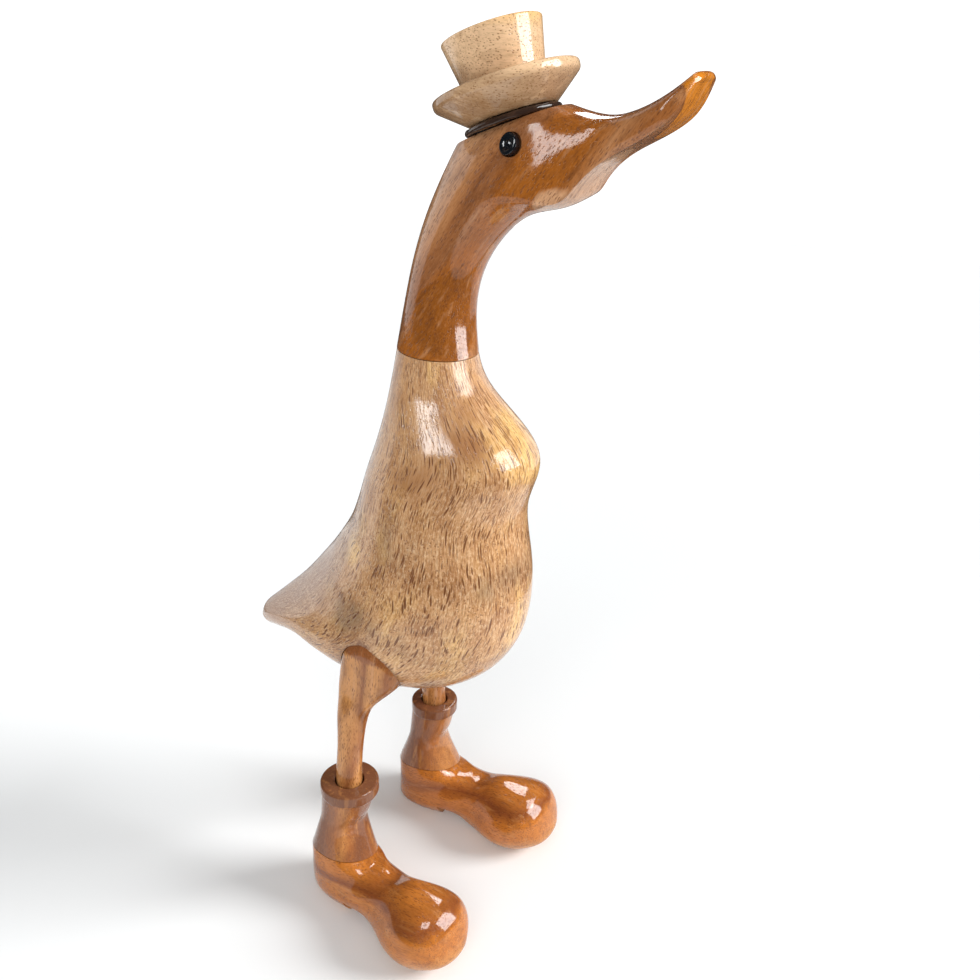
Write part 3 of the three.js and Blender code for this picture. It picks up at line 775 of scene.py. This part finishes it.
def layered_finish(name, turn, layers, pore, reach, pale, gloss=0.05, streak=0.4, pores=0.75, warp=3.0,
                   pore_size=(3.0, 0.56, 0.56), patches=(), wave=0.00012, clouds=0.3):
    """Varnished wood in layers across the grain, which runs along x after a turn in degrees.

    The layers are colours at heights across the grain, in millimetres. Streaks are fine lines
    along the grain, and pores are short dark dashes that are also pressed in. A patch is a field,
    the colour that it brings and the colour of its ragged edge. Clouds are how dark the soft
    blotches are, and the wave is the height of the waves in the varnish.
    """
    f = Finish(bpy.data.materials.new(name))
    low, high = reach
    vector = f.stretched(f.place(), (MM, MM, MM), turn)
    across = f.add("SeparateXYZ", None, {"Vector": vector}, "Z")
    broad = f.noise(vector, (34, 9, 9), 3, 0.55) - 0.5
    stops = [((height - low) / (high - low), tone) for height, tone in layers]
    factor = (across + broad * (2 * warp) - low) / (high - low)
    tone = f.add("ValToRGB", {"stops": stops}, {"Fac": factor}, "Color")
    line = f.noise(vector, (26, 0.6, 0.6), 3, 0.6)
    wide_line = f.noise(vector, (45, 2.4, 2.4))
    grit = f.noise(vector, (1.8, 0.45, 0.45), 2, 0.7)
    blotch = f.noise(vector, (11, 4, 4), 4, 0.6, (60, 0, 0))
    dash = f.flecks(vector, pore_size) * f.step(f.noise(vector, (12, 5, 5), move=(30, 0, 0)), 0.32, 0.46)
    for field, inside, edge in patches:
        reached = f.field(field) + (line - 0.5) * 0.2
        tone = f.mix(f.step(reached, 0.32, 0.45), tone, edge)
        tone = f.mix(f.step(reached, 0.45, 0.6), tone, inside)
    tone = f.laid(tone, [
        (blotch, 0.47, 0.68, clouds, pore),
        (line, 0.48, 0.75, streak, pore),
        (wide_line, 0.52, 0.75, streak, pore),
        (wide_line, 0.46, 0.25, 0.45, pale),
        (grit, 0.5, 0.3, 0.3, pore),
        (grit, 0.5, 0.7, 0.15, pale),
    ])
    tone = f.mix(dash * pores, tone, pore)
    normal = f.bump(f.noise(vector, (7, 4, 4)), wave, 0.6)
    normal = f.bump(line * 0.1 + grit * 0.15 - dash, 0.00004, 1.0, normal)
    return f.varnish(tone, gloss + 0.05 * line, normal)


def gloss_finish(name, dark, light, lump, roughness):
    """Hard gloss that is one dark colour, with a cloudy bloom and soft lumps."""
    f = Finish(bpy.data.materials.new(name))
    cloud = f.noise(f.place(), [lump * MM] * 3, 3)
    tone = f.mix(f.step(cloud, 0.45, 0.75), dark, light)
    return f.varnish(tone, roughness + 0.1 * cloud, f.bump(cloud, 0.0003, 0.6))


def between(first, second, share):
    """Colour a share of the way from the first to the second."""
    return [(1 - share) * a + share * b for a, b in zip(first, second)]


def darker(tone, share):
    return between(tone, (0, 0, 0), share)


# Pieces

def colours():
    return bpy.context.scene.duck_colours


def sizes():
    return bpy.context.scene.duck_sizes


def loft(ribs, outline, grid, *more):
    """Rings of points down a table of ribs, spaced evenly through the table."""
    rows, columns = grid
    curve = natural_spline(ribs, np.linspace(0, len(ribs) - 1, rows + 1))
    return outline(curve, turns(columns), *more)


def turned_skin(outline, cuts, spacing, columns, place, *more):
    """Closed skin turned from an outline that starts and ends on the axis, put in place."""
    profile = dense(eased(outline, cuts), spacing)
    poles = np.array([[0, 0, profile[0][1]], [0, 0, profile[-1][1]]])
    return skin(place(turned_rings(profile[1:-1], columns), *more), *place(poles, *more))


def carved_piece(seam, ribs, grid, carving, dome, marks):
    """Rings of the body or head with its carving, its closed skin, and a field for each set of marks."""
    rings = loft([seam, *ribs], carved, grid)
    rings, pole = domed(sunk(rings, carving_depth(rings, *carving)), *dome)
    shape = skin(rings, None, pole)
    return rings, shape, {name: spots(shape[0], places) for name, places in marks.items()}


def leg_skin(side, grow):
    """Leg of one side, grown all round, from the hip dome down to its foot."""
    boot, right = BOOTS[side], BOOTS["right"]
    ribs = np.array(LEG_RIBS)
    low = np.clip((LEG_TOP - ribs[:, 2]) / (LEG_TOP - RIM_HEIGHT), 0, 1)
    sign = SIDES[side]
    ribs[:, 0] += low * (boot["x"] - right["x"])
    ribs[:, 1] = sign * np.abs(ribs[:, 1]) + low * (boot["y"] - sign * abs(right["y"]))
    ribs[:, 3:5] += grow
    rings = loft(ribs, sections, LEG_GRID)[::-1]
    rings, pole = domed(rings, THIGH_DOME + grow, THIGH_RINGS)
    return skin(rings, None, pole)


class DuckPiece:
    """Shared settings of the operators"""

    bl_options = {"REGISTER", "UNDO"}


class DUCK_OT_body(DuckPiece, bpy.types.Operator):
    """Carve the body from a bamboo root, with a pocket for each thigh"""

    bl_idname = "duck.body"
    bl_label = "Carve body"

    def execute(self, context):
        marks = {"smoke": ROOT_SMOKE_AND_SHADE, "shade": ROOT_PAINTED_SHADE, "gold": ROOT_GOLD_AND_LIGHT, "bare": ROOT_BARE_AND_REFLECTION}
        seam = lifted(NECK_SEAM, -GAP / 2)
        rings, shape, fields = carved_piece(seam, BODY_RIBS, BODY_GRID, BODY_CARVING, TAIL_DOME, marks)
        along = arc_lengths(rings)
        angle = turns(rings.shape[1])
        around = GRAIN_RADIUS * np.cos(angle), GRAIN_RADIUS * np.sin(angle)
        grain = np.stack(np.broadcast_arrays(along[:, None], *around), -1)
        poles = [[along[0], 0, 0], [along[-1], 0, 0]]
        fields["grain"] = np.concatenate([grain.reshape(-1, 3), poles])
        # Painted shade beside the thighs
        fields["groove"] = beside_legs(shape[0])
        piece = new_object("body_carved", shape, fields)
        cut_away(piece, [new_object("pocket", leg_skin(side, GAP)) for side in SIDES])
        finish_piece(piece, "body", root_finish(colours()))
        return {"FINISHED"}


class DUCK_OT_head(DuckPiece, bpy.types.Operator):
    """Carve the head with its neck and bill, planed off under the hat and bored for the eyes"""

    bl_idname = "duck.head"
    bl_label = "Carve head"

    def execute(self, context):
        marks = {"pale": HEAD_PAINTED_LIGHT, "tip": BILL_TIP_AND_LIGHT, "amber": HEAD_AMBER}
        seam = lifted(NECK_SEAM, GAP / 2)
        _, shape, fields = carved_piece(seam, HEAD_RIBS, HEAD_GRID, HEAD_CARVING, BILL_DOME, marks)
        piece = new_object("head_carved", shape, fields)
        wide = 3 * BRIM_RADIUS
        floor = -BRIM_EDGE - HAT_CONE - SEAT_THICKNESS - 2 * GAP
        block = turned_rings(np.array([[wide, floor], [wide, floor + wide]]), 4)
        cutters = [new_object("plane", skin(hat_space(block)))]
        reach = EYE_RADIUS + GAP
        bore = turned_rings(np.array([[reach, -EYE_DEPTH - GAP], [reach, EYE_RADIUS]]), EYE_COLUMNS)
        cutters += [new_object("bore", skin(eye_space(bore, sign))) for sign in SIDES.values()]
        cut_away(piece, cutters)
        c = colours()
        pink = between(c.head, c.head_pale, 0.5)
        red = between(c.head, c.head_dark, 0.6)
        amber = darker(c.head, 0.25)
        layers = [
            (101.8, red), (114.8, red), (119.8, pink), (124.8, c.head), (137.8, c.head),
            (140.8, c.head_dark), (144.8, c.head_dark), (147.8, pink), (153.8, c.head_pale),
        ]
        # The pale patch is painted light under the chin and on the throat
        patches = (
            ("amber", amber, between(c.head, amber, 0.5)), ("pale", c.chin, c.chin),
            # The tip patch is orange wood with painted light, and its dark edge is painted shade
            ("tip", c.bill, between(c.head, c.head_pore, 0.55)),
        )
        finish = layered_finish(
            "head_wood", (0, -54, 0), layers, c.head_pore, (100, 156), c.head_pale,
            patches=patches, streak=0.5, pores=0.6, wave=0.00009, clouds=0.25,
        )
        finish_piece(piece, "head", finish)
        return {"FINISHED"}


class DUCK_OT_hat(DuckPiece, bpy.types.Operator):
    """Turn the top hat, with its brim and crown in one piece"""

    bl_idname = "duck.hat"
    bl_label = "Turn hat"

    def execute(self, context):
        edge = sizes().brim_edge / MM
        base = -BRIM_EDGE - HAT_CONE
        top = sizes().crown_height / MM
        outline = [
            [0, base], [HAT_BASE_RADIUS, base], [BRIM_RADIUS, -edge], [BRIM_RADIUS, 0],
            [CROWN_FOOT_RADIUS, 0], [CROWN_TOP_RADIUS, top], [0, top],
        ]
        shape = turned_skin(outline, [0.4, 1.0, 1.0, 0.6, 0.7], HAT_SPACING, HAT_COLUMNS, hat_space)
        piece = new_object("hat_turned", shape, sharp=60)
        c = colours()
        straw = between(c.hat, c.crown, 0.4)
        # The hat darkens from the crown down to under the brim, painted shade
        layers = [
            (296, c.hat), (304, c.hat), (308, straw), (311, straw), (314, c.crown), (323, c.crown),
            (328, c.root_gold),
        ]
        finish = layered_finish(
            "hat_wood", (0, 0, 40), layers, c.hat_fleck, (296, 330), c.crown, 0.07,
            streak=0.25, pores=0.7, warp=1.0, pore_size=(1.1, 0.6, 0.6), wave=0.00005, clouds=0.1,
        )
        finish_piece(piece, "hat", finish)
        return {"FINISHED"}


class DUCK_OT_glue(DuckPiece, bpy.types.Operator):
    """Lay the bead of dark glue that the hat sits in"""

    bl_idname = "duck.glue"
    bl_label = "Lay glue"

    def execute(self, context):
        # A half round edge whose middle and size go in and out as three sine waves, and that sags at the back
        angle = turns(GLUE_COLUMNS)
        turn = np.radians(np.linspace(-90, 90, 15))[:, None]
        back = 0.5 - 0.5 * np.cos(angle)
        sag = sizes().glue_sag / MM * back ** 2
        lumps = 0.5 * np.sin(7 * angle + 1) + 0.3 * np.sin(13 * angle + 2) + 0.2 * np.sin(23 * angle)
        middle = -BRIM_EDGE - HAT_CONE - GAP - SEAT_THICKNESS / 2
        half = SEAT_THICKNESS / 2 + 0.1 * lumps
        radius = SEAT_RADIUS - half + 0.12 * lumps + sag
        rim = np.stack(np.broadcast_arrays(
            (radius + half * np.cos(turn)) * np.cos(angle),
            (radius + half * np.cos(turn)) * np.sin(angle),
            middle + half * np.sin(turn),
        ), -1)
        poles = hat_space(np.array([[0, 0, middle + SEAT_THICKNESS / 2 * way] for way in (-1, 1)]))
        piece = new_object("hat_seat_bead", skin(hat_space(rim), *poles), sharp=60)
        finish = gloss_finish("dark_glue", colours().glue, (0.06, 0.03, 0.018), 3, 0.04)
        finish_piece(piece, "hat_seat", finish)
        return {"FINISHED"}


class DUCK_OT_eyes(DuckPiece, bpy.types.Operator):
    """Set the two bead eyes, each with a raised rim and a domed middle"""

    bl_idname = "duck.eyes"
    bl_label = "Set eyes"

    def execute(self, context):
        radius = sizes().eye_radius / MM
        outline = [
            [0, -EYE_DEPTH], [radius - EYE_SHOULDER, -EYE_DEPTH], [radius, -EYE_DEPTH / 2], [radius, 0],
            [radius - EYE_LIP, 0], [EYE_DOME * 0.6, -EYE_RIM], [EYE_DOME * 0.45, 0], [0, EYE_RIM * 0.2],
        ]
        cuts = [0.3, 0.3, 0.5, 0.5, 0.3, 0.3]
        finish = gloss_finish("eye_bead", colours().eye, (0.012, 0.012, 0.014), 2, 0.05)
        for side, sign in SIDES.items():
            shape = turned_skin(outline, cuts, EYE_SPACING, EYE_COLUMNS, eye_space, sign)
            piece = new_object(f"eye_{side}_bead", shape, sharp=70)
            finish_piece(piece, f"eye_{side}", finish)
        return {"FINISHED"}


class DUCK_OT_legs(DuckPiece, bpy.types.Operator):
    """Shape the two legs, from the thigh in the belly down into the boot"""

    bl_idname = "duck.legs"
    bl_label = "Shape legs"

    def execute(self, context):
        c = colours()
        layers = [
            (0, c.leg), (10, c.leg_dark), (13, c.leg), (18, c.leg), (20, c.leg_dark), (23, c.leg),
            (30, c.leg),
        ]
        # The top of each leg is painted darker with shade under the belly
        finish = layered_finish(
            "leg_wood", (0, -84, 0), layers, darker(c.leg_dark, 0.4), (0, 40), c.head_pale, 0.07,
            warp=4.0, clouds=0.5, patches=(("joint", c.leg_dark, c.leg_dark),),
        )
        for side in SIDES:
            shape = leg_skin(side, 0)
            fields = {"joint": JOINT_SHADE * smooth(JOINT_LOW, JOINT_HIGH, shape[0][:, 2])}
            piece = new_object(f"leg_{side}_shaped", shape, fields)
            finish_piece(piece, f"leg_{side}", finish)
        return {"FINISHED"}


class DUCK_OT_shafts(DuckPiece, bpy.types.Operator):
    """Turn the two boot shafts with their flared rims and leg holes"""

    bl_idname = "duck.shafts"
    bl_label = "Turn boot shafts"

    def execute(self, context):
        c = colours()
        light = between(c.shaft, c.leg, 0.6)
        layers = [
            (-12, c.shaft), (-4, light), (4, c.shaft), (12, c.shaft_dark), (20, c.shaft), (28, c.shaft_dark),
            (32, c.shaft), (35, light), (38, c.shaft), (42, c.shaft_dark),
        ]
        finish = layered_finish(
            "shaft_wood", (0, -84, 32), layers, c.shaft_dark, (-12, 46), c.leg,
            warp=2.0, patches=(("rim", darker(c.shaft_dark, 0.1), c.shaft_dark),),
        )
        ribs = [lifted(BOOT_SEAM, GAP / 2), *SHAFT_RIBS[::-1]]
        band = RIM_HEIGHT - BAND_HEIGHT
        for side, boot in BOOTS.items():
            rings = loft(ribs, booted, SHAFT_GRID, boot)
            radius = RIM_RADIUS * boot["rim"]
            outline = [
                [radius - 0.6, band - 1.0], [radius, band], [radius, RIM_HEIGHT],
                [LEG_HOLE_RADIUS, RIM_HEIGHT], [LEG_HOLE_RADIUS, RIM_HEIGHT - LEG_HOLE_DEPTH],
            ]
            rim = turned_rings(dense(eased(outline, [0.5, 1.0, 0.5]), RIM_SPACING)[1:], SHAFT_GRID[1])
            shape = skin(boot_space(np.concatenate([rings, rim]), boot))
            fields = {"rim": smooth(band - 1, band + 1, shape[0][:, 2])}
            piece = new_object(f"boot_shaft_{side}_turned", shape, fields)
            finish_piece(piece, f"boot_shaft_{side}", finish)
        return {"FINISHED"}


class DUCK_OT_feet(DuckPiece, bpy.types.Operator):
    """Carve the two boot feet, each with a heel block, an arch and a round toe"""

    bl_idname = "duck.feet"
    bl_label = "Carve boot feet"

    def execute(self, context):
        c = colours()
        # Towards the sole the foot takes the paler leg colour, a painted reflection of the floor
        layers = [
            (-8, c.leg), (2, c.leg), (8, c.foot), (15, c.foot), (18, c.foot_dark), (22, c.foot), (34, c.foot),
        ]
        finish = layered_finish(
            "foot_wood", (0, -8, 0), layers, darker(c.foot_dark, 0.3), (-8, 34), c.leg, wave=0.00004,
        )
        ribs = [lifted(BOOT_SEAM, -GAP / 2), *FOOT_RIBS]
        # The arch is a parabola from the front of the heel down to the sole, closed below the floor
        t = np.linspace(0, 1, 24)[:, None]
        start, end = np.array([[HEEL_FRONT, ARCH_HOLLOW], [ARCH_END, 0]])
        pull = np.array([(HEEL_FRONT + ARCH_END) / 2, ARCH_RISE])
        curve = (1 - t) ** 2 * start + 2 * t * (1 - t) * pull + t ** 2 * end
        loop = np.concatenate([[[HEEL_FRONT, -ARCH_RISE]], curve, [[ARCH_END, -ARCH_RISE]]])
        for side, boot in BOOTS.items():
            rings = loft(ribs, booted, FOOT_GRID, boot)
            depth = carving_depth(rings, *FOOT_CARVING)
            height = rings[..., 2]
            toe = np.linspace(0, 1, len(rings))[:, None]
            # No carving marks on the sole, at the seam or at the end of the toe
            depth *= smooth(0.2, 4, height) * smooth(0, 8, BOOT_SEAM[1] + 4 - height) * smooth(1, 0.9, toe)
            rings, pole = domed(sunk(rings, depth), *TOE_DOME)
            shape = skin(boot_space(rings, boot), None, boot_space(pole, boot))
            piece = new_object(f"boot_foot_{side}_carved", shape)
            arch = np.stack([
                np.stack([loop[:, 0] - boot["setback"], 0 * loop[:, 0] + edge, loop[:, 1]], -1)
                for edge in (-ARCH_REACH, ARCH_REACH)
            ])
            cut_away(piece, [new_object("arch", skin(boot_space(arch, boot)))])
            finish_piece(piece, f"boot_foot_{side}", finish)
        return {"FINISHED"}


# Stage: angles of the view in degrees, its distances in millimetres from the duck's own origin
VIEW_AZIMUTH, VIEW_PITCH, VIEW_ROLL = -57.9, 24.8, 1.55
VIEW_POINT = np.array([169.5, -262.6, 323.0])
VIEW_FOCUS = 1003.0
PHOTO_WIDTH = 980.0
SENSOR_WIDTH = 36.0
TABLE_RADIUS = 0.27
TABLE_HEIGHT = 0.00005
FLOOR_RADIUS = 1.5
FLOOR_TONES = (0.925, 0.94, 0.945), (0.94, 0.955, 0.96)
WORLD_SEEN, WORLD_LIT, WORLD_BELOW, WORLD_MIRRORED = 1.2, 0.32, 1.0, 0.05

# Suns: azimuth, height, spread and strength
SUNS = (("key", 30, 30, 28, 3.1), ("fill", -65, 32, 45, 1.2), ("top", -60, 75, 90, 0.3))

# Cards: pieces that mirror it, azimuth, distance, height, tilt, width, height, spin and radiance
CARD_COLOUR = (0.95, 0.98, 1.0)
ON_HEAD, ON_HAT, ON_BODY, ON_LEGS = ("head_carved",), ("hat_",), ("body_",), ("leg_", "boot_shaft_")
ON_FEET, ON_RIGHT, ON_LEFT = ("boot_foot_",), ("boot_foot_right",), ("boot_foot_left",)
CARDS = (
    ("head_window", ON_HEAD, -114.2, 1.006, 0.905, 33, 0.13, 1.12, 33, 9),
    ("head_right", ON_HEAD + ON_HAT, 18, 0.45, 0.375, 0, 0.28, 0.45, 0, 12),
    ("head_behind", ON_HEAD, 118, 1.00, 1.00, 0, 0.20, 0.70, 0, 11),
    ("head_pale", ON_HEAD + ON_HAT, -165, 0.30, 0.295, 0, 0.32, 0.23, 0, 1.4),
    ("head_dim", ON_HEAD, 152, 0.50, 0.575, 0, 0.26, 0.55, 0, 0.6),
    ("head_below", ON_HEAD, 85, 0.30, 0.085, 0, 0.34, 0.15, 0, 0.75),
    ("eye_window", ("eye_",), -80, 0.41, 0.577, 35, 0.60, 0.30, 0, 16),
    ("body_window", ON_BODY, -104, 0.472, 0.385, 19, 0.35, 0.07, 31, 13),
    ("body_right", ON_BODY, 1, 0.50, 0.47, 0, 0.36, 0.38, 0, 12),
    ("body_back", ON_BODY, 75, 0.50, 0.17, 0, 0.52, 0.32, 0, 1.3),
    ("body_pale", ON_BODY, 170, 0.40, 0.20, 0, 0.45, 0.40, 0, 1.1),
    ("legs_right", ON_LEGS, 16, 0.40, 0.38, 0, 0.26, 0.44, 0, 10),
    ("legs_behind", ON_LEGS, 99, 0.44, 0.51, 0, 0.21, 0.30, 0, 10),
    ("feet_right", ON_FEET, 22, 0.678, 0.454, 32, 0.46, 0.71, 0, 13),
    ("right_behind", ON_RIGHT, 108, 0.493, 0.66, 52, 0.17, 0.36, 0, 13),
    ("right_top", ON_RIGHT, -60, 0.30, 0.772, 68, 0.34, 0.31, 0, 11),
    ("left_behind", ON_LEFT, 116, 0.556, 0.606, 46, 0.22, 0.28, 0, 12),
    ("left_top", ON_LEFT, 50, 0.424, 0.708, 58, 0.43, 0.31, 0, 11),
)



class DUCK_OT_stage(DuckPiece, bpy.types.Operator):
    """Lay the floor, hang the lights and set up the camera"""

    bl_idname = "duck.stage"
    bl_label = "Set stage"

    def execute(self, context):
        self.floor()
        for row in SUNS:
            self.sun(*row)
        for row in CARDS:
            self.card(*row)
        self.camera(context)
        self.world(context)
        context.scene.view_settings.view_transform = "Standard"
        return {"FINISHED"}

    def floor(self):
        """Wide white floor that the camera sees, and the round white table top that the varnish mirrors."""
        f = Finish(bpy.data.materials.new("white_paper"))
        tone = f.mix(f.noise(f.place(), (0.3, 0.3, 0.3)), *FLOOR_TONES)
        paper = {"Base Color": tone, "Roughness": 0.9, "Specular IOR Level": 0.1}
        material = f.close("OutputMaterial", f.add("BsdfPrincipled", None, paper))
        discs = []
        for name, radius, height in (("floor", FLOOR_RADIUS, 0.0), ("table_top", TABLE_RADIUS, TABLE_HEIGHT)):
            points = turned_rings(np.array([[radius, height]]), FLOOR_COLUMNS)[0]
            mesh = bpy.data.meshes.new(name)
            mesh.from_pydata(points.tolist(), [], [tuple(range(FLOOR_COLUMNS))])
            mesh.materials.append(material)
            ground = linked(name, mesh)
            discs.append(ground)
        floor, mirrored = discs
        floor.visible_glossy = False
        mirrored.visible_camera = mirrored.visible_diffuse = mirrored.visible_shadow = False

    def card(self, name, pieces, azimuth, distance, height, tilt, width, length, spin, radiance):
        """Glowing card that is only mirrored in the varnish of some pieces.

        It faces the duck's axis, is tilted back by degrees and turned in its own plane by a spin.
        """
        data = bpy.data.lights.new(name, "AREA")
        data.shape = "RECTANGLE"
        data.size, data.size_y = width, length
        data.energy = radiance * math.pi * width * length
        data.color = CARD_COLOUR
        angle = math.radians(azimuth)
        place = [math.cos(angle) * distance, math.sin(angle) * distance, height]
        lamp = linked(name, data)
        lamp.matrix_world = facing(place, azimuth, tilt, spin)
        lamp.visible_camera = lamp.visible_diffuse = False
        mirrors = bpy.data.collections.new(name)
        for piece in bpy.context.scene.objects:
            if piece.name.startswith(pieces):
                mirrors.objects.link(piece)
        lamp.light_linking.receiver_collection = mirrors

    def sun(self, name, azimuth, height, spread, strength):
        """Even light from far off that isn't mirrored in the varnish, with its angles in degrees."""
        data = bpy.data.lights.new(name, "SUN")
        data.angle = math.radians(spread)
        data.energy = strength
        lamp = linked(name, data)
        lamp.matrix_world = facing([0, 0, 0], azimuth, height)
        lamp.visible_glossy = False

    def camera(self, context):
        data = bpy.data.cameras.new("camera")
        data.sensor_width = SENSOR_WIDTH
        data.lens = VIEW_FOCUS / PHOTO_WIDTH * SENSOR_WIDTH
        data.clip_start = 0.01
        camera = linked("camera", data)
        camera.matrix_world = facing((VIEW_POINT + PLACE) * MM, VIEW_AZIMUTH, VIEW_PITCH, VIEW_ROLL)
        context.scene.camera = camera

    def world(self, context):
        """Light all round: one strength for the camera, one for mirrored rays, and less above than below."""
        f = Finish(bpy.data.worlds.new("studio"))
        height = f.add("SeparateXYZ", None, {"Vector": f.add("TexCoord", output="Generated")}, "Z")
        lit = f.even(height, -0.1, 0.0, WORLD_BELOW, WORLD_LIT)
        unseen = f.even(f.add("LightPath", output="Is Glossy Ray"), 0, 1, lit, WORLD_MIRRORED)
        strength = f.even(f.add("LightPath", output="Is Camera Ray"), 0, 1, unseen, WORLD_SEEN)
        sky = f.add("Background", None, {"Color": (1, 1, 1, 1), "Strength": strength})
        context.scene.world = f.close("OutputWorld", sky)


def facing(place, azimuth, tilt, roll=0.0):
    """Matrix of a light or camera at a place, turned to an azimuth and facing the duck's axis.

    It is tilted back and rolled in its own plane, all by degrees.
    """
    angle, rise, turn = (math.radians(a) for a in (azimuth, tilt, roll))
    back = np.array([math.cos(angle) * math.cos(rise), math.sin(angle) * math.cos(rise), math.sin(rise)])
    level = np.array([-math.sin(angle), math.cos(angle), 0])
    right = level * math.cos(turn) + np.cross(back, level) * math.sin(turn)
    matrix = np.eye(4)
    matrix[:3, :3] = np.stack([right, np.cross(back, right), back], -1)
    matrix[:3, 3] = place
    return Matrix(matrix.tolist())


class VIEW3D_PT_duck(bpy.types.Panel):
    bl_idname = "VIEW3D_PT_duck"
    bl_label = "Wooden duck"
    bl_space_type = "VIEW_3D"
    bl_region_type = "UI"
    bl_category = "Duck"

    def draw(self, context):
        for operator in OPERATORS:
            self.layout.operator(operator.bl_idname)
        for group, title in ((context.scene.duck_sizes, "Sizes"), (context.scene.duck_colours, "Colours")):
            box = self.layout.box()
            box.label(text=title)
            for key in group.__annotations__:
                box.prop(group, key)


OPERATORS = (
    DUCK_OT_body, DUCK_OT_head, DUCK_OT_hat, DUCK_OT_glue, DUCK_OT_eyes,
    DUCK_OT_legs, DUCK_OT_shafts, DUCK_OT_feet, DUCK_OT_stage,
)
CLASSES = (DuckSizes, DuckColours, *OPERATORS, VIEW3D_PT_duck)


def register():
    for cls in CLASSES:
        bpy.utils.register_class(cls)
    bpy.types.Scene.duck_sizes = PointerProperty(type=DuckSizes)
    bpy.types.Scene.duck_colours = PointerProperty(type=DuckColours)


def unregister():
    del bpy.types.Scene.duck_colours
    del bpy.types.Scene.duck_sizes
    for cls in reversed(CLASSES):
        bpy.utils.unregister_class(cls)


def main():
    register()
    for operator in OPERATORS:
        module, name = operator.bl_idname.split(".")
        getattr(getattr(bpy.ops, module), name)()


if __name__ == "__main__":
    main()
